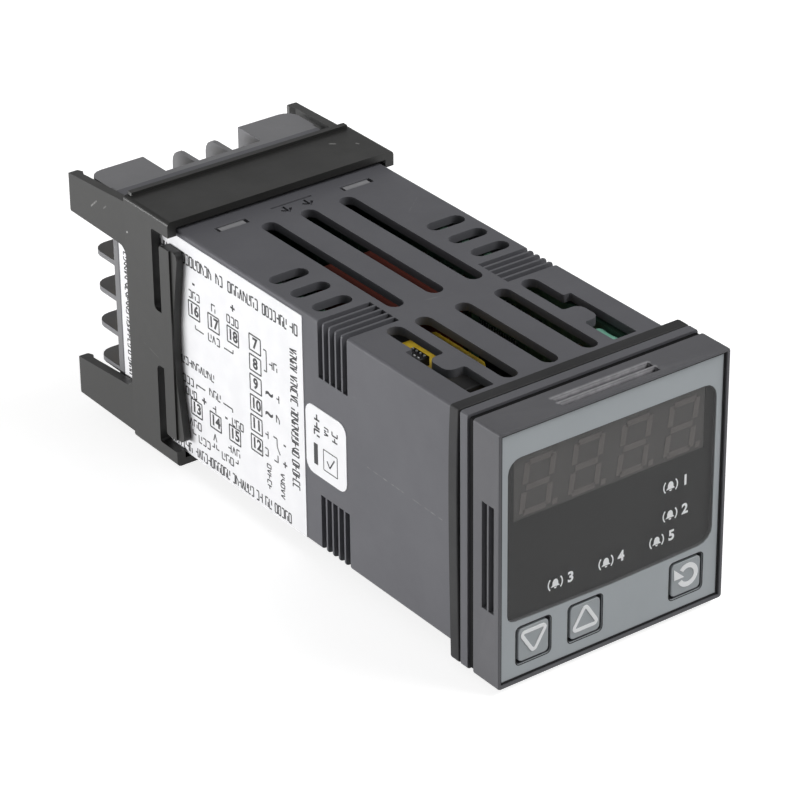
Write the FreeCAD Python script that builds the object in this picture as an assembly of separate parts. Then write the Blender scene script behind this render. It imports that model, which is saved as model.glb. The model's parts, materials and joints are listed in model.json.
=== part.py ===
"""Digital panel meter with a 48 mm square front: a plug-in instrument in a panel-mounted sleeve.

Millimetres. The origin is the centre of the panel plane, at the rear face of the gasket.
The front faces -Y, the case runs back along +Y, +X is right seen from the front, +Z is up.
"""
import FreeCAD, Part
import math
import os

from FreeCAD import Vector

# Sleeve: a square tube for a 45 mm square cut-out, with a flange in front
case_w = 44.8
case_wall = 1.6
case_edge_r = 0.6
sleeve_len = 101.2
flange_lip = 1.6
flange_t = 1.9
flange_edge_r = 0.5

# Vents through the sleeve's top and bottom
vent_w = 3.25
vent_pitch = 8.4
front_vent_start = 3.05
front_vent_len = 26.0
vent_bridge = 5.15
rear_vent_len = 39.9
side_vent_len = 7.8
side_vent_edge = 1.65
side_vent_gap = 4.15
side_vent_pitch = 6.35
side_vent_count = 3
corner_vent_w = 3.45
corner_vent_step = 1.5
corner_vent_edge = 4.95
corner_vent_jog = 17.55
corner_vent_r = 0.3
tongue_start = 7.85
tongue_len = 5.5
tongue_gap = 1.5
tongue_root_r = 0.6
tongue_tip_r = 1.6

# Ratchet at the sleeve's corners, guide ribs inside it, and windows for the rear block's latches
ratchet_gap = 1.8
ratchet_pitch = 1.765
ratchet_count = 5
ratchet_w = 1.3
ratchet_depth = 1.0
ratchet_reach = 10.9
guide_rib_w = 1.1
guide_rib_h = 1.2
guide_rib_len = 17.0
guide_rib_gap = 1.9
latch_x = 13.5
latch_w = 5.4
latch_len = 1.35
latch_from_rear = 24.25
latch_window_side = 0.6
latch_window_end = 0.2
latch_arm_t = 0.8
latch_hook_drop = 0.1

# Gasket and seal either side of the flange
gasket_t = 2.9
seal_t = 1.5
seal_inset = 0.9

# Bezel, with finger grips in its four sides, and the film in its face
bezel_depth = 6.7
bezel_wall = 1.8
bezel_face_t = 1.6
bezel_edge_r = 0.5
rim_w = 0.6
rim_h = 0.75
overlay_t = 0.25
grip_len = 20.0
grip_w = 1.5
grip_depth = 1.0
grip_first = 1.1
grip_pitch = 1.78
grip_count = 2
guide_t = 1.1
guide_len = 8.3
guide_side = 3.0
post_r = 1.0

# Display window, and the keys below it
window_t = 0.8
window_side = 2.2
window_above = 5.8
window_rise = 0.7
window_bow_r = 420.0
window_top_r = 2.6
window_right_r = 3.0
window_left_r = 1.6
key_side = 7.7
key_below = 6.65
key_hole = 7.2
key_window_gap = 0.75
key_gap = 0.45
key_r = 0.8
key_lip = 0.5
key_lip_t = 0.75
key_stem_r = 1.4
key_travel = 0.5

# Rear terminal block
block_plate_t = 1.5
barrier_len = 7.6
barrier_t = 1.0
barrier_r = 2.8
bays_per_column = 6
bays_per_row = 3
skirt_len = 5.2
skirt_t = 0.8

# Terminals
contact_t = 0.8
contact_w = 5.0
contact_end_gap = 1.0
tail_t = 0.6
tail_w = 2.6
tail_overlap = 3.5
screw_r = 1.5
screw_head_r = 2.7
screw_head_h = 2.0
screw_slot_w = 0.7
screw_slot_depth = 0.9
screw_tip_gap = 0.3
screw_wall_gap = 0.85
wire_clamp_w = 5.2
wire_clamp_t = 0.8

# Labels on the left side
label_t = 0.12
wiring_label_len = 57.6
wiring_label_inset = 0.6
wiring_label_below = 0.3
wiring_label_above = 1.0
small_label_gap = 0.5
small_label_len = 11.8
small_label_h = 13.4
small_label_z = -1.2
small_label_r = 2.0

# Mounting clamp, parked at the rear of the case
clamp_from_rear = 20.5
clamp_len = 14.2
clamp_wall = 1.8
clamp_plate_t = 1.4
clamp_edge_r = 0.8
clamp_corner_h = 3.0
bead_h = 0.6
bead_w = 1.2
bead_inset = 1.0
finger_w = 3.1
finger_slot_w = 2.3
finger_slot_r = 1.0
finger_bridge = 11.2
finger_end_gap = 2.5
finger_set = 0.6
finger_bow = 2.8
finger_bow_r = 55.0
finger_step = 0.35
finger_root_r = 0.5
finger_end_r = 1.2
arm_w = 9.1
arm_inset = 1.2
arm_taper = 0.8
arm_len = 18.0
arm_flare = 0.6
arm_root_r = 2.0
arm_bend_r = 4.0
arm_tip_r = 0.6
barb_back = 1.7
barb_front = 2.9
barb_r = 0.15

# Boards of the instrument
board_t = 1.6
board_inset = 2.2
board_edge_gap = 0.5
board_rear_gap = 5.7
display_board_gap = 0.4
output_board_x = 8.2
output_board_h = 36.8
output_board_lead = 1.0

# Parts on the display board
module_side = 1.7
module_above = 0.3
module_h = 12.0
module_t = 4.9
segment_t = 0.1
digit_count = 4
digit_h = 9.6
digit_w = 5.6
segment_w = 1.0
segment_gap = 0.25
digit_slant = 8.0
lamp_w = 6.6
lamp_h = 2.2
lamp_t = 4.6
lamp_side = 8.4
lamp_row_rise = 4.9
lamp_top_drop = 4.2
lamp_middle_share = 0.43
switch_w = 3.2
switch_t = 1.8
plunger_r = 0.9
plunger_h = 0.4

# Headers that join the boards
header_w = 2.6
header_len = 6.0
header_h = 30.0
link_from_rear = 31.5
link_len = 20.0
link_h = 6.0

# Parts on the power board, from front to rear
filter_start = 3.2
filter_len = 8.2
filter_z = 1.0
filter_h = 12.6
filter_reach = 11.0
core_gap = 0.4
core_yoke = 5.4
core_leg = 4.0
core_reach = 12.5
core_z = -1.0
core_h = 18.2
winding_len = 13.0
winding_reach = 13.8
winding_h = 15.0
winding_r = 1.5
pins_start = 2.8
pins_len = 4.3
pins_h = 1.7
pins_reach = 4.2
capacitor_r = 5.0
capacitor_len = 14.0
capacitor_gap = 1.5
capacitor_count = 3

# Parts on the processor and output boards
chip_w = 12.0
chip_t = 1.4
chip_y = 40.0
ceramic_r = 1.7
ceramic_len = 6.0
ceramic_y = 5.5
ceramic_rise = 0.15
relay_gap = 1.4
relay_len = 25.5
relay_reach = 14.2
relay_h = 10.0
relay_top = 17.4
relay_count = 2

# Clearances, and how far cutters and joined pieces run past a face
slide_gap = 0.3
fit_gap = 0.1
bond_gap = 0.05
clamp_gap = 0.28
overrun = 1.0
sink = 0.2

# How far short chords may leave a rounded corner, and a small round piece that repeats
chord_error = 0.06
small_round_error = 0.15
merge_gap = 0.001

# Half widths, and planes along the case
case_half = case_w / 2
case_inner = case_half - case_wall
front_half = case_half + flange_lip
flange_back = -gasket_t
flange_front = flange_back - flange_t
front_vent_end = front_vent_start + front_vent_len
rear_vent_start = front_vent_end + vent_bridge
rear_vent_end = rear_vent_start + rear_vent_len
ratchet_start = front_vent_end + ratchet_gap
ratchet_end = ratchet_start + (ratchet_count - 1) * ratchet_pitch
latch_start = sleeve_len - latch_from_rear - latch_len / 2
block_front = sleeve_len
block_back = sleeve_len + block_plate_t
barrier_back = block_back + barrier_len

# Front stack
bezel_back = flange_front - seal_t
bezel_front = bezel_back - bezel_depth
bezel_inner = front_half - bezel_wall
overlay_back = bezel_front + rim_h
overlay_front = overlay_back - overlay_t
face_back = overlay_back + bezel_face_t
window_back = overlay_front + window_t
segment_back = window_back + segment_t
display_board_front = segment_back + module_t
display_board_back = display_board_front + board_t

# Window and keys in the front
window_half = front_half - window_side
window_top = front_half - window_above
key_z = key_below - front_half
window_bottom = key_z + key_hole / 2 + key_window_gap
key_pitch = (front_half - key_side) / 1.5
key_places = [-1.5 * key_pitch, -0.5 * key_pitch, 1.5 * key_pitch]
module_half = window_half - module_side
module_z = window_top - module_above - module_h / 2
digit_pitch = 2 * module_half / digit_count

# Boards and what stands on them
board_outer = case_inner - board_inset
board_inner = board_outer - board_t
board_half_h = case_inner - board_edge_gap
board_rear = sleeve_len - board_rear_gap
guide_top = case_inner - slide_gap
guide_bottom = guide_top - guide_t
winding_start = filter_start + filter_len + core_gap + core_yoke
core_start = winding_start - core_yoke
core_end = winding_start + winding_len + core_yoke
winding_z = core_z + core_leg
relay_start = core_end + relay_gap
relay_pitch = relay_h + relay_gap
relay_bottom = relay_top - (relay_count - 1) * relay_pitch - relay_h
capacitor_pitch = 2 * capacitor_r + capacitor_gap
capacitor_z = relay_bottom - capacitor_gap - capacitor_r

# Terminals, label and clamp
bay_pitch = (case_w - barrier_t) / bays_per_column
row_half = bay_pitch * bays_per_row / 2
tail_start = board_outer + slide_gap
screw_u = row_half + barrier_t / 2 + screw_head_r + screw_wall_gap
wiring_label_start = sleeve_len - wiring_label_inset - wiring_label_len
clamp_y = sleeve_len - clamp_from_rear
clamp_back = clamp_y + clamp_len
clamp_inner = case_half + label_t + clamp_gap
clamp_outer = clamp_inner + clamp_wall
slot_top = clamp_outer - clamp_corner_h
arm_top = clamp_outer - arm_inset
arm_bottom = arm_top - arm_w


def block(x0, x1, y0, y1, z0, z1):
    """Box between two corners."""
    return Part.makeBox(x1 - x0, y1 - y0, z1 - z0, Vector(x0, y0, z0))


def square_ring(outer, inner, y0, y1, edge_r=0):
    """Square tube along Y, given by its half widths, with its outer edges rounded."""
    hollow = block(-inner, inner, y0, y1, -inner, inner)
    return prism_y(rectangle(-outer, outer, -outer, outer, edge_r), y0, y1).cut(hollow)


def chord_turn(radius, error):
    """Angle of the chord that leaves a circle by the given error."""
    return 2 * math.acos(1 - min(error, radius) / radius)


def round_corner(before, corner, after, radius):
    """Points of the arc that rounds a corner, as short chords."""
    if radius == 0:
        return [corner]
    back = (before - corner).normalize()
    on = (after - corner).normalize()
    half = back.getAngle(on) / 2
    reach = radius / math.tan(half)
    centre = corner + (back + on).normalize() * (radius / math.sin(half))
    start = corner + back * reach - centre
    end = corner + on * reach - centre
    turn = math.pi - 2 * half
    steps = math.ceil(turn / chord_turn(radius, chord_error))
    points = []
    for i in range(steps + 1):
        part = turn * i / steps
        points.append(centre + (start * math.sin(turn - part) + end * math.sin(part)) / math.sin(turn))
    return points


def rounded_face(corners, place):
    """Face through (u, v, radius) corners, each rounded by its radius, set in space by place(u, v)."""
    flat = [Vector(u, v, 0) for u, v, radius in corners]
    points = []
    for i, (u, v, radius) in enumerate(corners):
        for point in round_corner(flat[i - 1], flat[i], flat[(i + 1) % len(flat)], radius):
            spot = place(point.x, point.y)
            if not points or spot.distanceToPoint(points[-1]) > merge_gap:
                points.append(spot)
    if points[0].distanceToPoint(points[-1]) <= merge_gap:
        points.pop()
    return Part.Face(Part.makePolygon(points + points[:1]))


def circle(u, v, radius, error):
    """Corners of the polygon round a circle, which stands outside it by the given error at most."""
    sides = math.ceil(2 * math.pi / chord_turn(radius, error))
    reach = radius / math.cos(math.pi / sides)
    turns = [2 * math.pi * i / sides for i in range(sides)]
    return [(u + reach * math.cos(turn), v + reach * math.sin(turn), 0) for turn in turns]


def prism_x(corners, x0, x1):
    """Outline of (y, z, radius) corners, extruded along X."""
    return rounded_face(corners, lambda u, v: Vector(x0, u, v)).extrude(Vector(x1 - x0, 0, 0))


def prism_y(corners, y0, y1):
    """Outline of (x, z, radius) corners, extruded along Y."""
    return rounded_face(corners, lambda u, v: Vector(u, y0, v)).extrude(Vector(0, y1 - y0, 0))


def prism_z(corners, z0, z1):
    """Outline of (x, y, radius) corners, extruded along Z."""
    return rounded_face(corners, lambda u, v: Vector(u, v, z0)).extrude(Vector(0, 0, z1 - z0))


def rectangle(u0, u1, v0, v1, radius):
    """Corners of a rectangle with equal rounded corners."""
    return [(u0, v0, radius), (u1, v0, radius), (u1, v1, radius), (u0, v1, radius)]


def mirrored_x(shape):
    """The same shape on the other side of the YZ plane."""
    return shape.mirror(Vector(0, 0, 0), Vector(1, 0, 0))


def mirrored_z(shape):
    """The same shape on the other side of the XY plane."""
    return shape.mirror(Vector(0, 0, 0), Vector(0, 0, 1))


def corner_vent():
    """Dog-leg vent near the front corner: it widens forward, and a tongue almost closes it half way."""
    wide = case_half - corner_vent_edge
    narrow = wide - corner_vent_step
    inner = narrow - corner_vent_w
    tip = wide - tongue_gap
    jog = front_vent_start + corner_vent_jog
    tongue_front = front_vent_start + tongue_start
    tongue_back = tongue_front + tongue_len
    return [
        (inner, front_vent_end, corner_vent_w / 2),
        (narrow, front_vent_end, corner_vent_w / 2),
        (narrow, jog, corner_vent_r),
        (wide, jog, corner_vent_r),
        (wide, front_vent_start, corner_vent_r),
        (inner, front_vent_start, corner_vent_r),
        (inner, tongue_front, tongue_root_r),
        (tip, tongue_front, tongue_tip_r),
        (tip, tongue_back, tongue_tip_r),
        (inner, tongue_back, tongue_root_r),
    ]


def vent_cutters():
    """Prisms through the top and bottom walls for every vent."""
    high = case_half + overrun
    half = vent_w / 2
    cutters = []
    for x in (-vent_pitch, 0, vent_pitch):
        for start, end in ((front_vent_start, front_vent_end), (rear_vent_start, rear_vent_end)):
            cutters.append(prism_z(rectangle(x - half, x + half, start, end, half), -high, high))
    outer = case_half - side_vent_edge
    for i in range(side_vent_count):
        y = ratchet_end + side_vent_gap + i * side_vent_pitch
        outline = rectangle(outer - side_vent_len, outer, y - half, y + half, half)
        short = prism_z(outline, -high, high)
        cutters += [short, mirrored_x(short)]
    dog_leg = prism_z(corner_vent(), -high, high)
    return cutters + [dog_leg, mirrored_x(dog_leg)]


def ratchet_cutters():
    """Grooves that wrap round the four corners, for the clamp's barbs."""
    start = case_half - ratchet_reach
    far = case_half + overrun
    corners = []
    for sx in (-1, 1):
        for sz in (-1, 1):
            x0, x1 = sorted((sx * start, sx * far))
            z0, z1 = sorted((sz * start, sz * far))
            corners.append((x0, x1, z0, z1))
    grooves = []
    for i in range(ratchet_count):
        y = ratchet_start + i * ratchet_pitch
        ring = square_ring(far, case_half - ratchet_depth, y - ratchet_w / 2, y + ratchet_w / 2)
        for x0, x1, z0, z1 in corners:
            grooves.append(ring.common(block(x0, x1, y - ratchet_w, y + ratchet_w, z0, z1)))
    return grooves


def guide_ribs():
    """Rib pairs inside the top and bottom walls that lead the two main boards."""
    ribs = []
    tips = case_inner - guide_rib_h
    end = latch_start - guide_rib_gap
    for x in (board_inner - slide_gap - guide_rib_w, board_outer + slide_gap):
        rib = block(x, x + guide_rib_w, end - guide_rib_len, end, tips, case_inner + sink)
        ribs += [rib, mirrored_x(rib), mirrored_z(rib), mirrored_x(mirrored_z(rib))]
    return ribs


def case_sleeve():
    """Moulded square tube with the front flange, vents, ratchets, latch windows and guide ribs."""
    tube = square_ring(case_half, case_inner, flange_front, sleeve_len, case_edge_r)
    flange = square_ring(front_half, case_inner, flange_front, flange_back, flange_edge_r)
    sleeve = tube.fuse([flange] + guide_ribs())
    half = latch_w / 2 + latch_window_side
    y0, y1 = latch_start - latch_window_end, latch_start + latch_len + latch_window_end
    high = case_half + overrun
    window = block(latch_x - half, latch_x + half, y0, y1, -high, high)
    cutters = vent_cutters() + ratchet_cutters() + [window, mirrored_x(window)]
    return sleeve.cut(cutters).removeSplitter()


def panel_gasket():
    """Rubber ring that seals the flange to the panel."""
    return square_ring(front_half, case_half + fit_gap, flange_back, 0, flange_edge_r)


def at_terminals(master):
    """Copies of a piece made for the right column's middle, one at each of the terminals."""
    copies = []
    for angle in (0, 90, 180, 270):
        count = bays_per_column if angle in (0, 180) else bays_per_row
        for i in range(count):
            piece = master.copy()
            piece.translate(Vector(0, 0, (i - (count - 1) / 2) * bay_pitch))
            piece.rotate(Vector(0, 0, 0), Vector(0, 1, 0), angle)
            copies.append(piece)
    return copies


def barrier(v):
    """Barrier plate beside a terminal, its outer rear corner rounded."""
    outline = [
        (row_half, block_back, 0),
        (case_half, block_back, 0),
        (case_half, barrier_back, barrier_r),
        (row_half, barrier_back, 0),
    ]
    return prism_z(outline, v - barrier_t / 2, v + barrier_t / 2)


def barriers():
    """Plates between and beyond the terminals of the columns and rows, and the walls behind them."""
    plates = []
    for angle in (0, 90, 180, 270):
        count = bays_per_column + 1 if angle in (0, 180) else bays_per_row - 1
        for i in range(count):
            plate = barrier((i - (count - 1) / 2) * bay_pitch)
            plate.rotate(Vector(0, 0, 0), Vector(0, 1, 0), angle)
            plates.append(plate)
    half = barrier_t / 2
    wall = block(row_half - half, row_half + half, block_back, barrier_back, -case_half, case_half)
    sill = block(-row_half, row_half, block_back, barrier_back, row_half - half, row_half + half)
    return plates + [wall, mirrored_x(wall), sill, mirrored_z(sill)]


def latch_arms():
    """Four arms along the sleeve's top and bottom, each hooked into a latch window."""
    x0, x1 = latch_x - latch_w / 2, latch_x + latch_w / 2
    top = case_inner - fit_gap
    bottom = top - latch_arm_t
    arm = block(x0, x1, latch_start, block_front + sink, bottom, top)
    hook = block(x0, x1, latch_start, latch_start + latch_len, bottom, case_half - latch_hook_drop)
    arm = arm.fuse(hook)
    return [arm, mirrored_x(arm), mirrored_z(arm), mirrored_x(mirrored_z(arm))]


def rear_terminal_block():
    """Moulding that closes the rear: plate, skirt, barriers and latch arms, pierced for the terminals."""
    outline = rectangle(-case_half, case_half, -case_half, case_half, case_edge_r)
    plate = prism_y(outline, block_front, block_back)
    skirt_outer = case_inner - fit_gap
    skirt_front = block_front - skirt_len
    skirt = square_ring(skirt_outer, skirt_outer - skirt_t, skirt_front, block_front)
    body = plate.fuse([skirt] + barriers() + latch_arms())
    across = tail_w / 2 + fit_gap
    u0, u1 = tail_start - fit_gap, tail_start + tail_t + fit_gap
    slot = block(u0, u1, skirt_front - overrun, block_back + sink, -across, across)
    hole = screw_hole(block_front, block_plate_t)
    return body.cut(at_terminals(slot) + at_terminals(hole)).removeSplitter()


def screw_rod(radius, y0, y1):
    """Round bar on a terminal screw's axis."""
    return prism_y(circle(screw_u, 0, radius, small_round_error), y0, y1)


def screw_hole(y, depth):
    """Cutter for a screw's clearance hole through a plate at a terminal."""
    return screw_rod(screw_r + small_round_error + fit_gap, y - overrun, y + depth + overrun)


def terminal_contacts():
    """Brass plates under the screws, each with a tail that meets a board's edge."""
    start = row_half + barrier_t / 2 + contact_end_gap
    end = case_half - contact_end_gap
    half = contact_w / 2
    plate = block(start, end, block_back, block_back + contact_t, -half, half)
    tail_front = board_rear - tail_overlap
    tail = block(tail_start, tail_start + tail_t, tail_front, block_back, -tail_w / 2, tail_w / 2)
    contact = plate.fuse(tail).cut(screw_hole(block_back, contact_t)).removeSplitter()
    return Part.Compound(at_terminals(contact))


def wire_clamps():
    """Square plates under the screw heads that grip the wires."""
    half = wire_clamp_w / 2
    start = block_back + contact_t
    plate = block(screw_u - half, screw_u + half, start, start + wire_clamp_t, -half, half)
    return Part.Compound(at_terminals(plate.cut(screw_hole(start, wire_clamp_t))))


def terminal_screws():
    """Slotted pan-head screws, heads to the rear."""
    seat = block_back + contact_t + wire_clamp_t
    tip = block_front + screw_tip_gap
    top = seat + screw_head_h
    head = screw_rod(screw_head_r, seat, top)
    shank = screw_rod(screw_r, tip, seat)
    reach = screw_head_r + overrun
    half = screw_slot_w / 2
    slot = block(screw_u - reach, screw_u + reach, top - screw_slot_depth, top + overrun, -half, half)
    return Part.Compound(at_terminals(head.fuse(shank).cut(slot)))


def wiring_label():
    """Printed label over the rear half of the sleeve's left side."""
    low, high = wiring_label_below - case_half, case_half - wiring_label_above
    end = wiring_label_start + wiring_label_len
    outline = rectangle(wiring_label_start, end, low, high, 0)
    return prism_x(outline, -case_half - label_t, -case_half)


def inspection_label():
    """Small round-cornered label in front of it."""
    end = wiring_label_start - small_label_gap
    low, high = small_label_z - small_label_h / 2, small_label_z + small_label_h / 2
    outline = rectangle(end - small_label_len, end, low, high, small_label_r)
    return prism_x(outline, -case_half - label_t, -case_half)


def clamp_finger():
    """Leaf on the clamp's right side whose two ends bow forward to press on the panel, thinner in front."""
    rear = clamp_y + finger_w
    middle = clamp_y + finger_set
    ends = middle - finger_bow
    half = slot_top - finger_end_gap
    outline = [
        (rear, -half, finger_root_r),
        (ends, -half, finger_end_r),
        (middle, 0, finger_bow_r),
        (ends, half, finger_end_r),
        (rear, half, finger_root_r),
    ]
    thinner = block(clamp_outer - finger_step, clamp_outer + overrun, ends - overrun, clamp_y, -half, half)
    return prism_x(outline, clamp_inner, clamp_outer).cut(thinner)


def clamp_arms():
    """Two latch arms on the clamp's right side, sprung a little outward, with barbs at their tips."""
    root = clamp_back - sink
    tip = clamp_back + arm_len
    foot = arm_bottom - arm_root_r - sink
    side = [
        (root, arm_top, 0),
        (tip, arm_top - arm_taper, arm_tip_r),
        (tip, arm_bottom + arm_taper, arm_tip_r),
        (clamp_back, arm_bottom, arm_root_r),
        (clamp_back, foot, 0),
        (root, foot, 0),
    ]
    plan = [
        (clamp_inner, root, 0),
        (clamp_outer, root, 0),
        (clamp_outer, clamp_back, arm_bend_r),
        (clamp_outer + arm_flare, tip, arm_tip_r),
        (clamp_inner + arm_flare, tip, 0),
        (clamp_inner, tip - barb_back, barb_r),
        (clamp_inner + arm_flare, tip - barb_front, barb_r),
        (clamp_inner, clamp_back, arm_bend_r),
    ]
    upper = prism_x(side, clamp_inner - overrun, clamp_outer + arm_flare + overrun)
    strip = prism_z(plan, -clamp_outer, clamp_outer)
    return [strip.common(upper), strip.common(mirrored_z(upper))]


def mounting_clamp():
    """One moulding: collar round the case, spring fingers in front and barbed arms behind."""
    outline = rectangle(-clamp_outer, clamp_outer, -clamp_outer, clamp_outer, clamp_edge_r)
    collar = prism_y(outline, clamp_y, clamp_back)
    plate_inner = clamp_outer - clamp_plate_t
    collar = collar.cut(block(-clamp_inner, clamp_inner, clamp_y, clamp_back, -plate_inner, plate_inner))
    slot_end = clamp_y + finger_w + finger_slot_w
    slot_outline = [
        (clamp_y - overrun, finger_bridge / 2, 0),
        (slot_end, finger_bridge / 2, finger_slot_r),
        (slot_end, slot_top, finger_root_r),
        (clamp_y - overrun, slot_top, 0),
    ]
    slot = prism_x(slot_outline, -clamp_outer - overrun, clamp_outer + overrun)
    collar = collar.cut([slot, mirrored_z(slot)])
    half = clamp_outer - bead_inset
    bead_start = clamp_back - bead_w
    bead = block(-half, half, bead_start, clamp_back, clamp_outer - sink, clamp_outer + bead_h)
    side = [clamp_finger()] + clamp_arms()
    side += [mirrored_x(piece) for piece in side]
    return collar.fuse(side + [bead, mirrored_z(bead)]).removeSplitter()


def window_outline(inset):
    """Display window: rounded corners and a lower edge that bows gently downward."""
    half = window_half - inset
    bottom = window_bottom + inset
    corner = bottom + window_rise
    return [
        (-half, corner, window_left_r),
        (0, bottom, window_bow_r),
        (half, corner, window_right_r),
        (half, window_top - inset, window_top_r),
        (-half, window_top - inset, window_top_r),
    ]


def key_outline(x, inset):
    """Rounded square of a key opening, or of a key when inset."""
    half = key_hole / 2 - inset
    return rectangle(x - half, x + half, key_z - half, key_z + half, key_r)


def front_openings():
    """Cutters for the window and the keys, through the film and the bezel's face."""
    outlines = [window_outline(0)] + [key_outline(x, 0) for x in key_places]
    return [prism_y(outline, overlay_front - overrun, face_back + sink) for outline in outlines]


def grip_cutters():
    """Wedge grooves across the middle of each side of the bezel, upright at the rear for the finger tips."""
    cutters = []
    high = front_half + overrun
    half = grip_len / 2
    for i in range(grip_count):
        front = bezel_front + grip_first + i * grip_pitch
        rear = front + grip_w
        floor = (rear, front_half - grip_depth, 0)
        groove = prism_x([(front, front_half, 0), floor, (rear, high, 0), (front, high, 0)], -half, half)
        for angle in (0, 90, 180, 270):
            turned = groove.copy()
            turned.rotate(Vector(0, 0, 0), Vector(0, 1, 0), angle)
            cutters.append(turned)
    return cutters


def bezel():
    """Front moulding: rim, face pierced for window and keys, hollow back, posts and guides."""
    outline = rectangle(-front_half, front_half, -front_half, front_half, bezel_edge_r)
    body = prism_y(outline, bezel_front, bezel_back)
    recess = front_half - rim_w
    cavity = block(-bezel_inner, bezel_inner, face_back, bezel_back, -bezel_inner, bezel_inner)
    cuts = [block(-recess, recess, bezel_front, overlay_back, -recess, recess), cavity]
    body = body.cut(cuts + front_openings() + grip_cutters())
    half = board_inner - guide_side
    web_front = bezel_back - guide_t
    guide = block(-half, half, web_front, bezel_back + guide_len, guide_bottom, guide_top)
    web = block(-half, half, web_front, bezel_back, guide_bottom, bezel_inner + sink)
    posts = []
    for x in (-key_pitch, key_pitch):
        outline = circle(x, key_z, post_r, chord_error)
        posts.append(prism_y(outline, face_back, display_board_front))
    return body.fuse([guide, mirrored_z(guide), web, mirrored_z(web)] + posts).removeSplitter()


def bezel_seal():
    """Black rubber ring between the bezel and the sleeve's flange."""
    return square_ring(front_half - seal_inset, case_inner + fit_gap, bezel_back, flange_front)


def front_overlay():
    """Printed film in the bezel's recess, open at the window and round the keys."""
    half = front_half - rim_w - bond_gap
    return block(-half, half, overlay_front, overlay_back, -half, half).cut(front_openings())


def display_window():
    """Tinted lens bonded into the bezel, flush with the film."""
    return prism_y(window_outline(bond_gap), overlay_front, window_back)


def key(x):
    """Key cap flush with the film, with a lip behind the bezel's face and a stem to its switch."""
    lip_front = face_back + fit_gap
    lip_back = lip_front + key_lip_t
    cap = prism_y(key_outline(x, key_gap), overlay_front, lip_back)
    lip = prism_y(key_outline(x, -key_lip), lip_front, lip_back)
    stem_end = display_board_front - switch_t - plunger_h - key_travel - bond_gap
    stem = prism_y(circle(x, key_z, key_stem_r, small_round_error), lip_back, stem_end)
    return cap.fuse([lip, stem]).removeSplitter()


def key_switches():
    """Tactile switches on the display board, one behind each key."""
    switches = []
    half = switch_w / 2
    front = display_board_front - switch_t
    for x in key_places:
        body = block(x - half, x + half, front, display_board_front, key_z - half, key_z + half)
        plunger = prism_y(circle(x, key_z, plunger_r, small_round_error), front - plunger_h, front)
        switches.append(body.fuse(plunger))
    return Part.Compound(switches)


def display_module():
    """Four-digit display block behind the window."""
    low, high = module_z - module_h / 2, module_z + module_h / 2
    return block(-module_half, module_half, segment_back, display_board_front, low, high)


def digit_segments():
    """Seven slanted bars of each digit and its point, set on the display block's face."""
    lean = math.tan(math.radians(digit_slant))
    half_h, half_w, arm = digit_h / 2, digit_w / 2, segment_w / 2
    bars = []
    reach = half_w - arm - segment_gap
    for v in (arm - half_h, 0, half_h - arm):
        bars.append((-reach, reach, v - arm, v + arm))
    for u in (-half_w, half_w):
        side = arm if u < 0 else -arm
        bars.append((u + side - arm, u + side + arm, arm + segment_gap, half_h - arm))
        bars.append((u + side - arm, u + side + arm, -half_h + arm, -arm - segment_gap))
    bars.append((half_w + arm, half_w + 3 * arm, -half_h, -half_h + segment_w))
    solids = []
    for i in range(digit_count):
        x = (i - (digit_count - 1) / 2) * digit_pitch
        for u0, u1, v0, v1 in bars:
            outline = []
            for u, v in ((u0, v0), (u1, v0), (u1, v1), (u0, v1)):
                outline.append((x + u + v * lean, module_z + v, 0))
            solids.append(prism_y(outline, window_back, segment_back))
    return Part.Compound(solids)


def alarm_lamps():
    """Lamps on the display board behind the five alarm legends."""
    row_z = window_bottom + lamp_row_rise
    top_z = module_z - module_h / 2 - lamp_top_drop
    places = [(x, row_z) for x in (-key_pitch, 0, key_pitch)]
    for z in (row_z + lamp_middle_share * (top_z - row_z), top_z):
        places.append((window_half - lamp_side, z))
    front = display_board_front - lamp_t
    half_w, half_h = lamp_w / 2, lamp_h / 2
    lamps = []
    for x, z in places:
        lamps.append(block(x - half_w, x + half_w, front, display_board_front, z - half_h, z + half_h))
    return Part.Compound(lamps)


def display_board():
    """Board across the back of the bezel that carries display, lamps and switches."""
    half_w = case_inner - display_board_gap
    half_h = guide_bottom - display_board_gap
    return block(-half_w, half_w, display_board_front, display_board_back, -half_h, half_h)


def main_board(x0):
    """Upright board from the display board back to the terminal contacts."""
    return block(x0, x0 + board_t, display_board_back, board_rear, -board_half_h, board_half_h)


def output_board():
    """Smaller upright board that carries the relays."""
    half_h = output_board_h / 2
    front = relay_start - output_board_lead
    return block(output_board_x, output_board_x + board_t, front, board_rear, -half_h, half_h)


def on_power_board(reach, y0, length, z0, height):
    """Box standing on the power board's inner face."""
    return block(-board_inner, -board_inner + reach, y0, y0 + length, z0, z0 + height)


def transformer_core():
    """Ferrite core: two yokes, a lower leg and the middle leg through the winding."""
    core = on_power_board(core_reach, core_start, core_end - core_start, core_z, core_h)
    space = on_power_board(core_reach + overrun, winding_start, winding_len, winding_z, core_h)
    return core.cut(space).fuse(middle_leg()).removeSplitter()


def middle_leg():
    """Leg of the core inside the winding."""
    centre = winding_z + winding_h / 2
    half = core_leg / 2
    x = core_reach / 2 - board_inner
    end = winding_start + winding_len
    return block(x - half, x + half, winding_start, end, centre - half, centre + half)


def transformer_winding():
    """Taped winding round the core's middle leg."""
    reach = winding_reach - board_inner
    outline = rectangle(-board_inner, reach, winding_z, winding_z + winding_h, winding_r)
    return prism_y(outline, winding_start, winding_start + winding_len).cut(middle_leg())


def suppression_capacitor():
    """Yellow film capacitor across the mains input."""
    return on_power_board(filter_reach, filter_start, filter_len, filter_z, filter_h)


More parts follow.
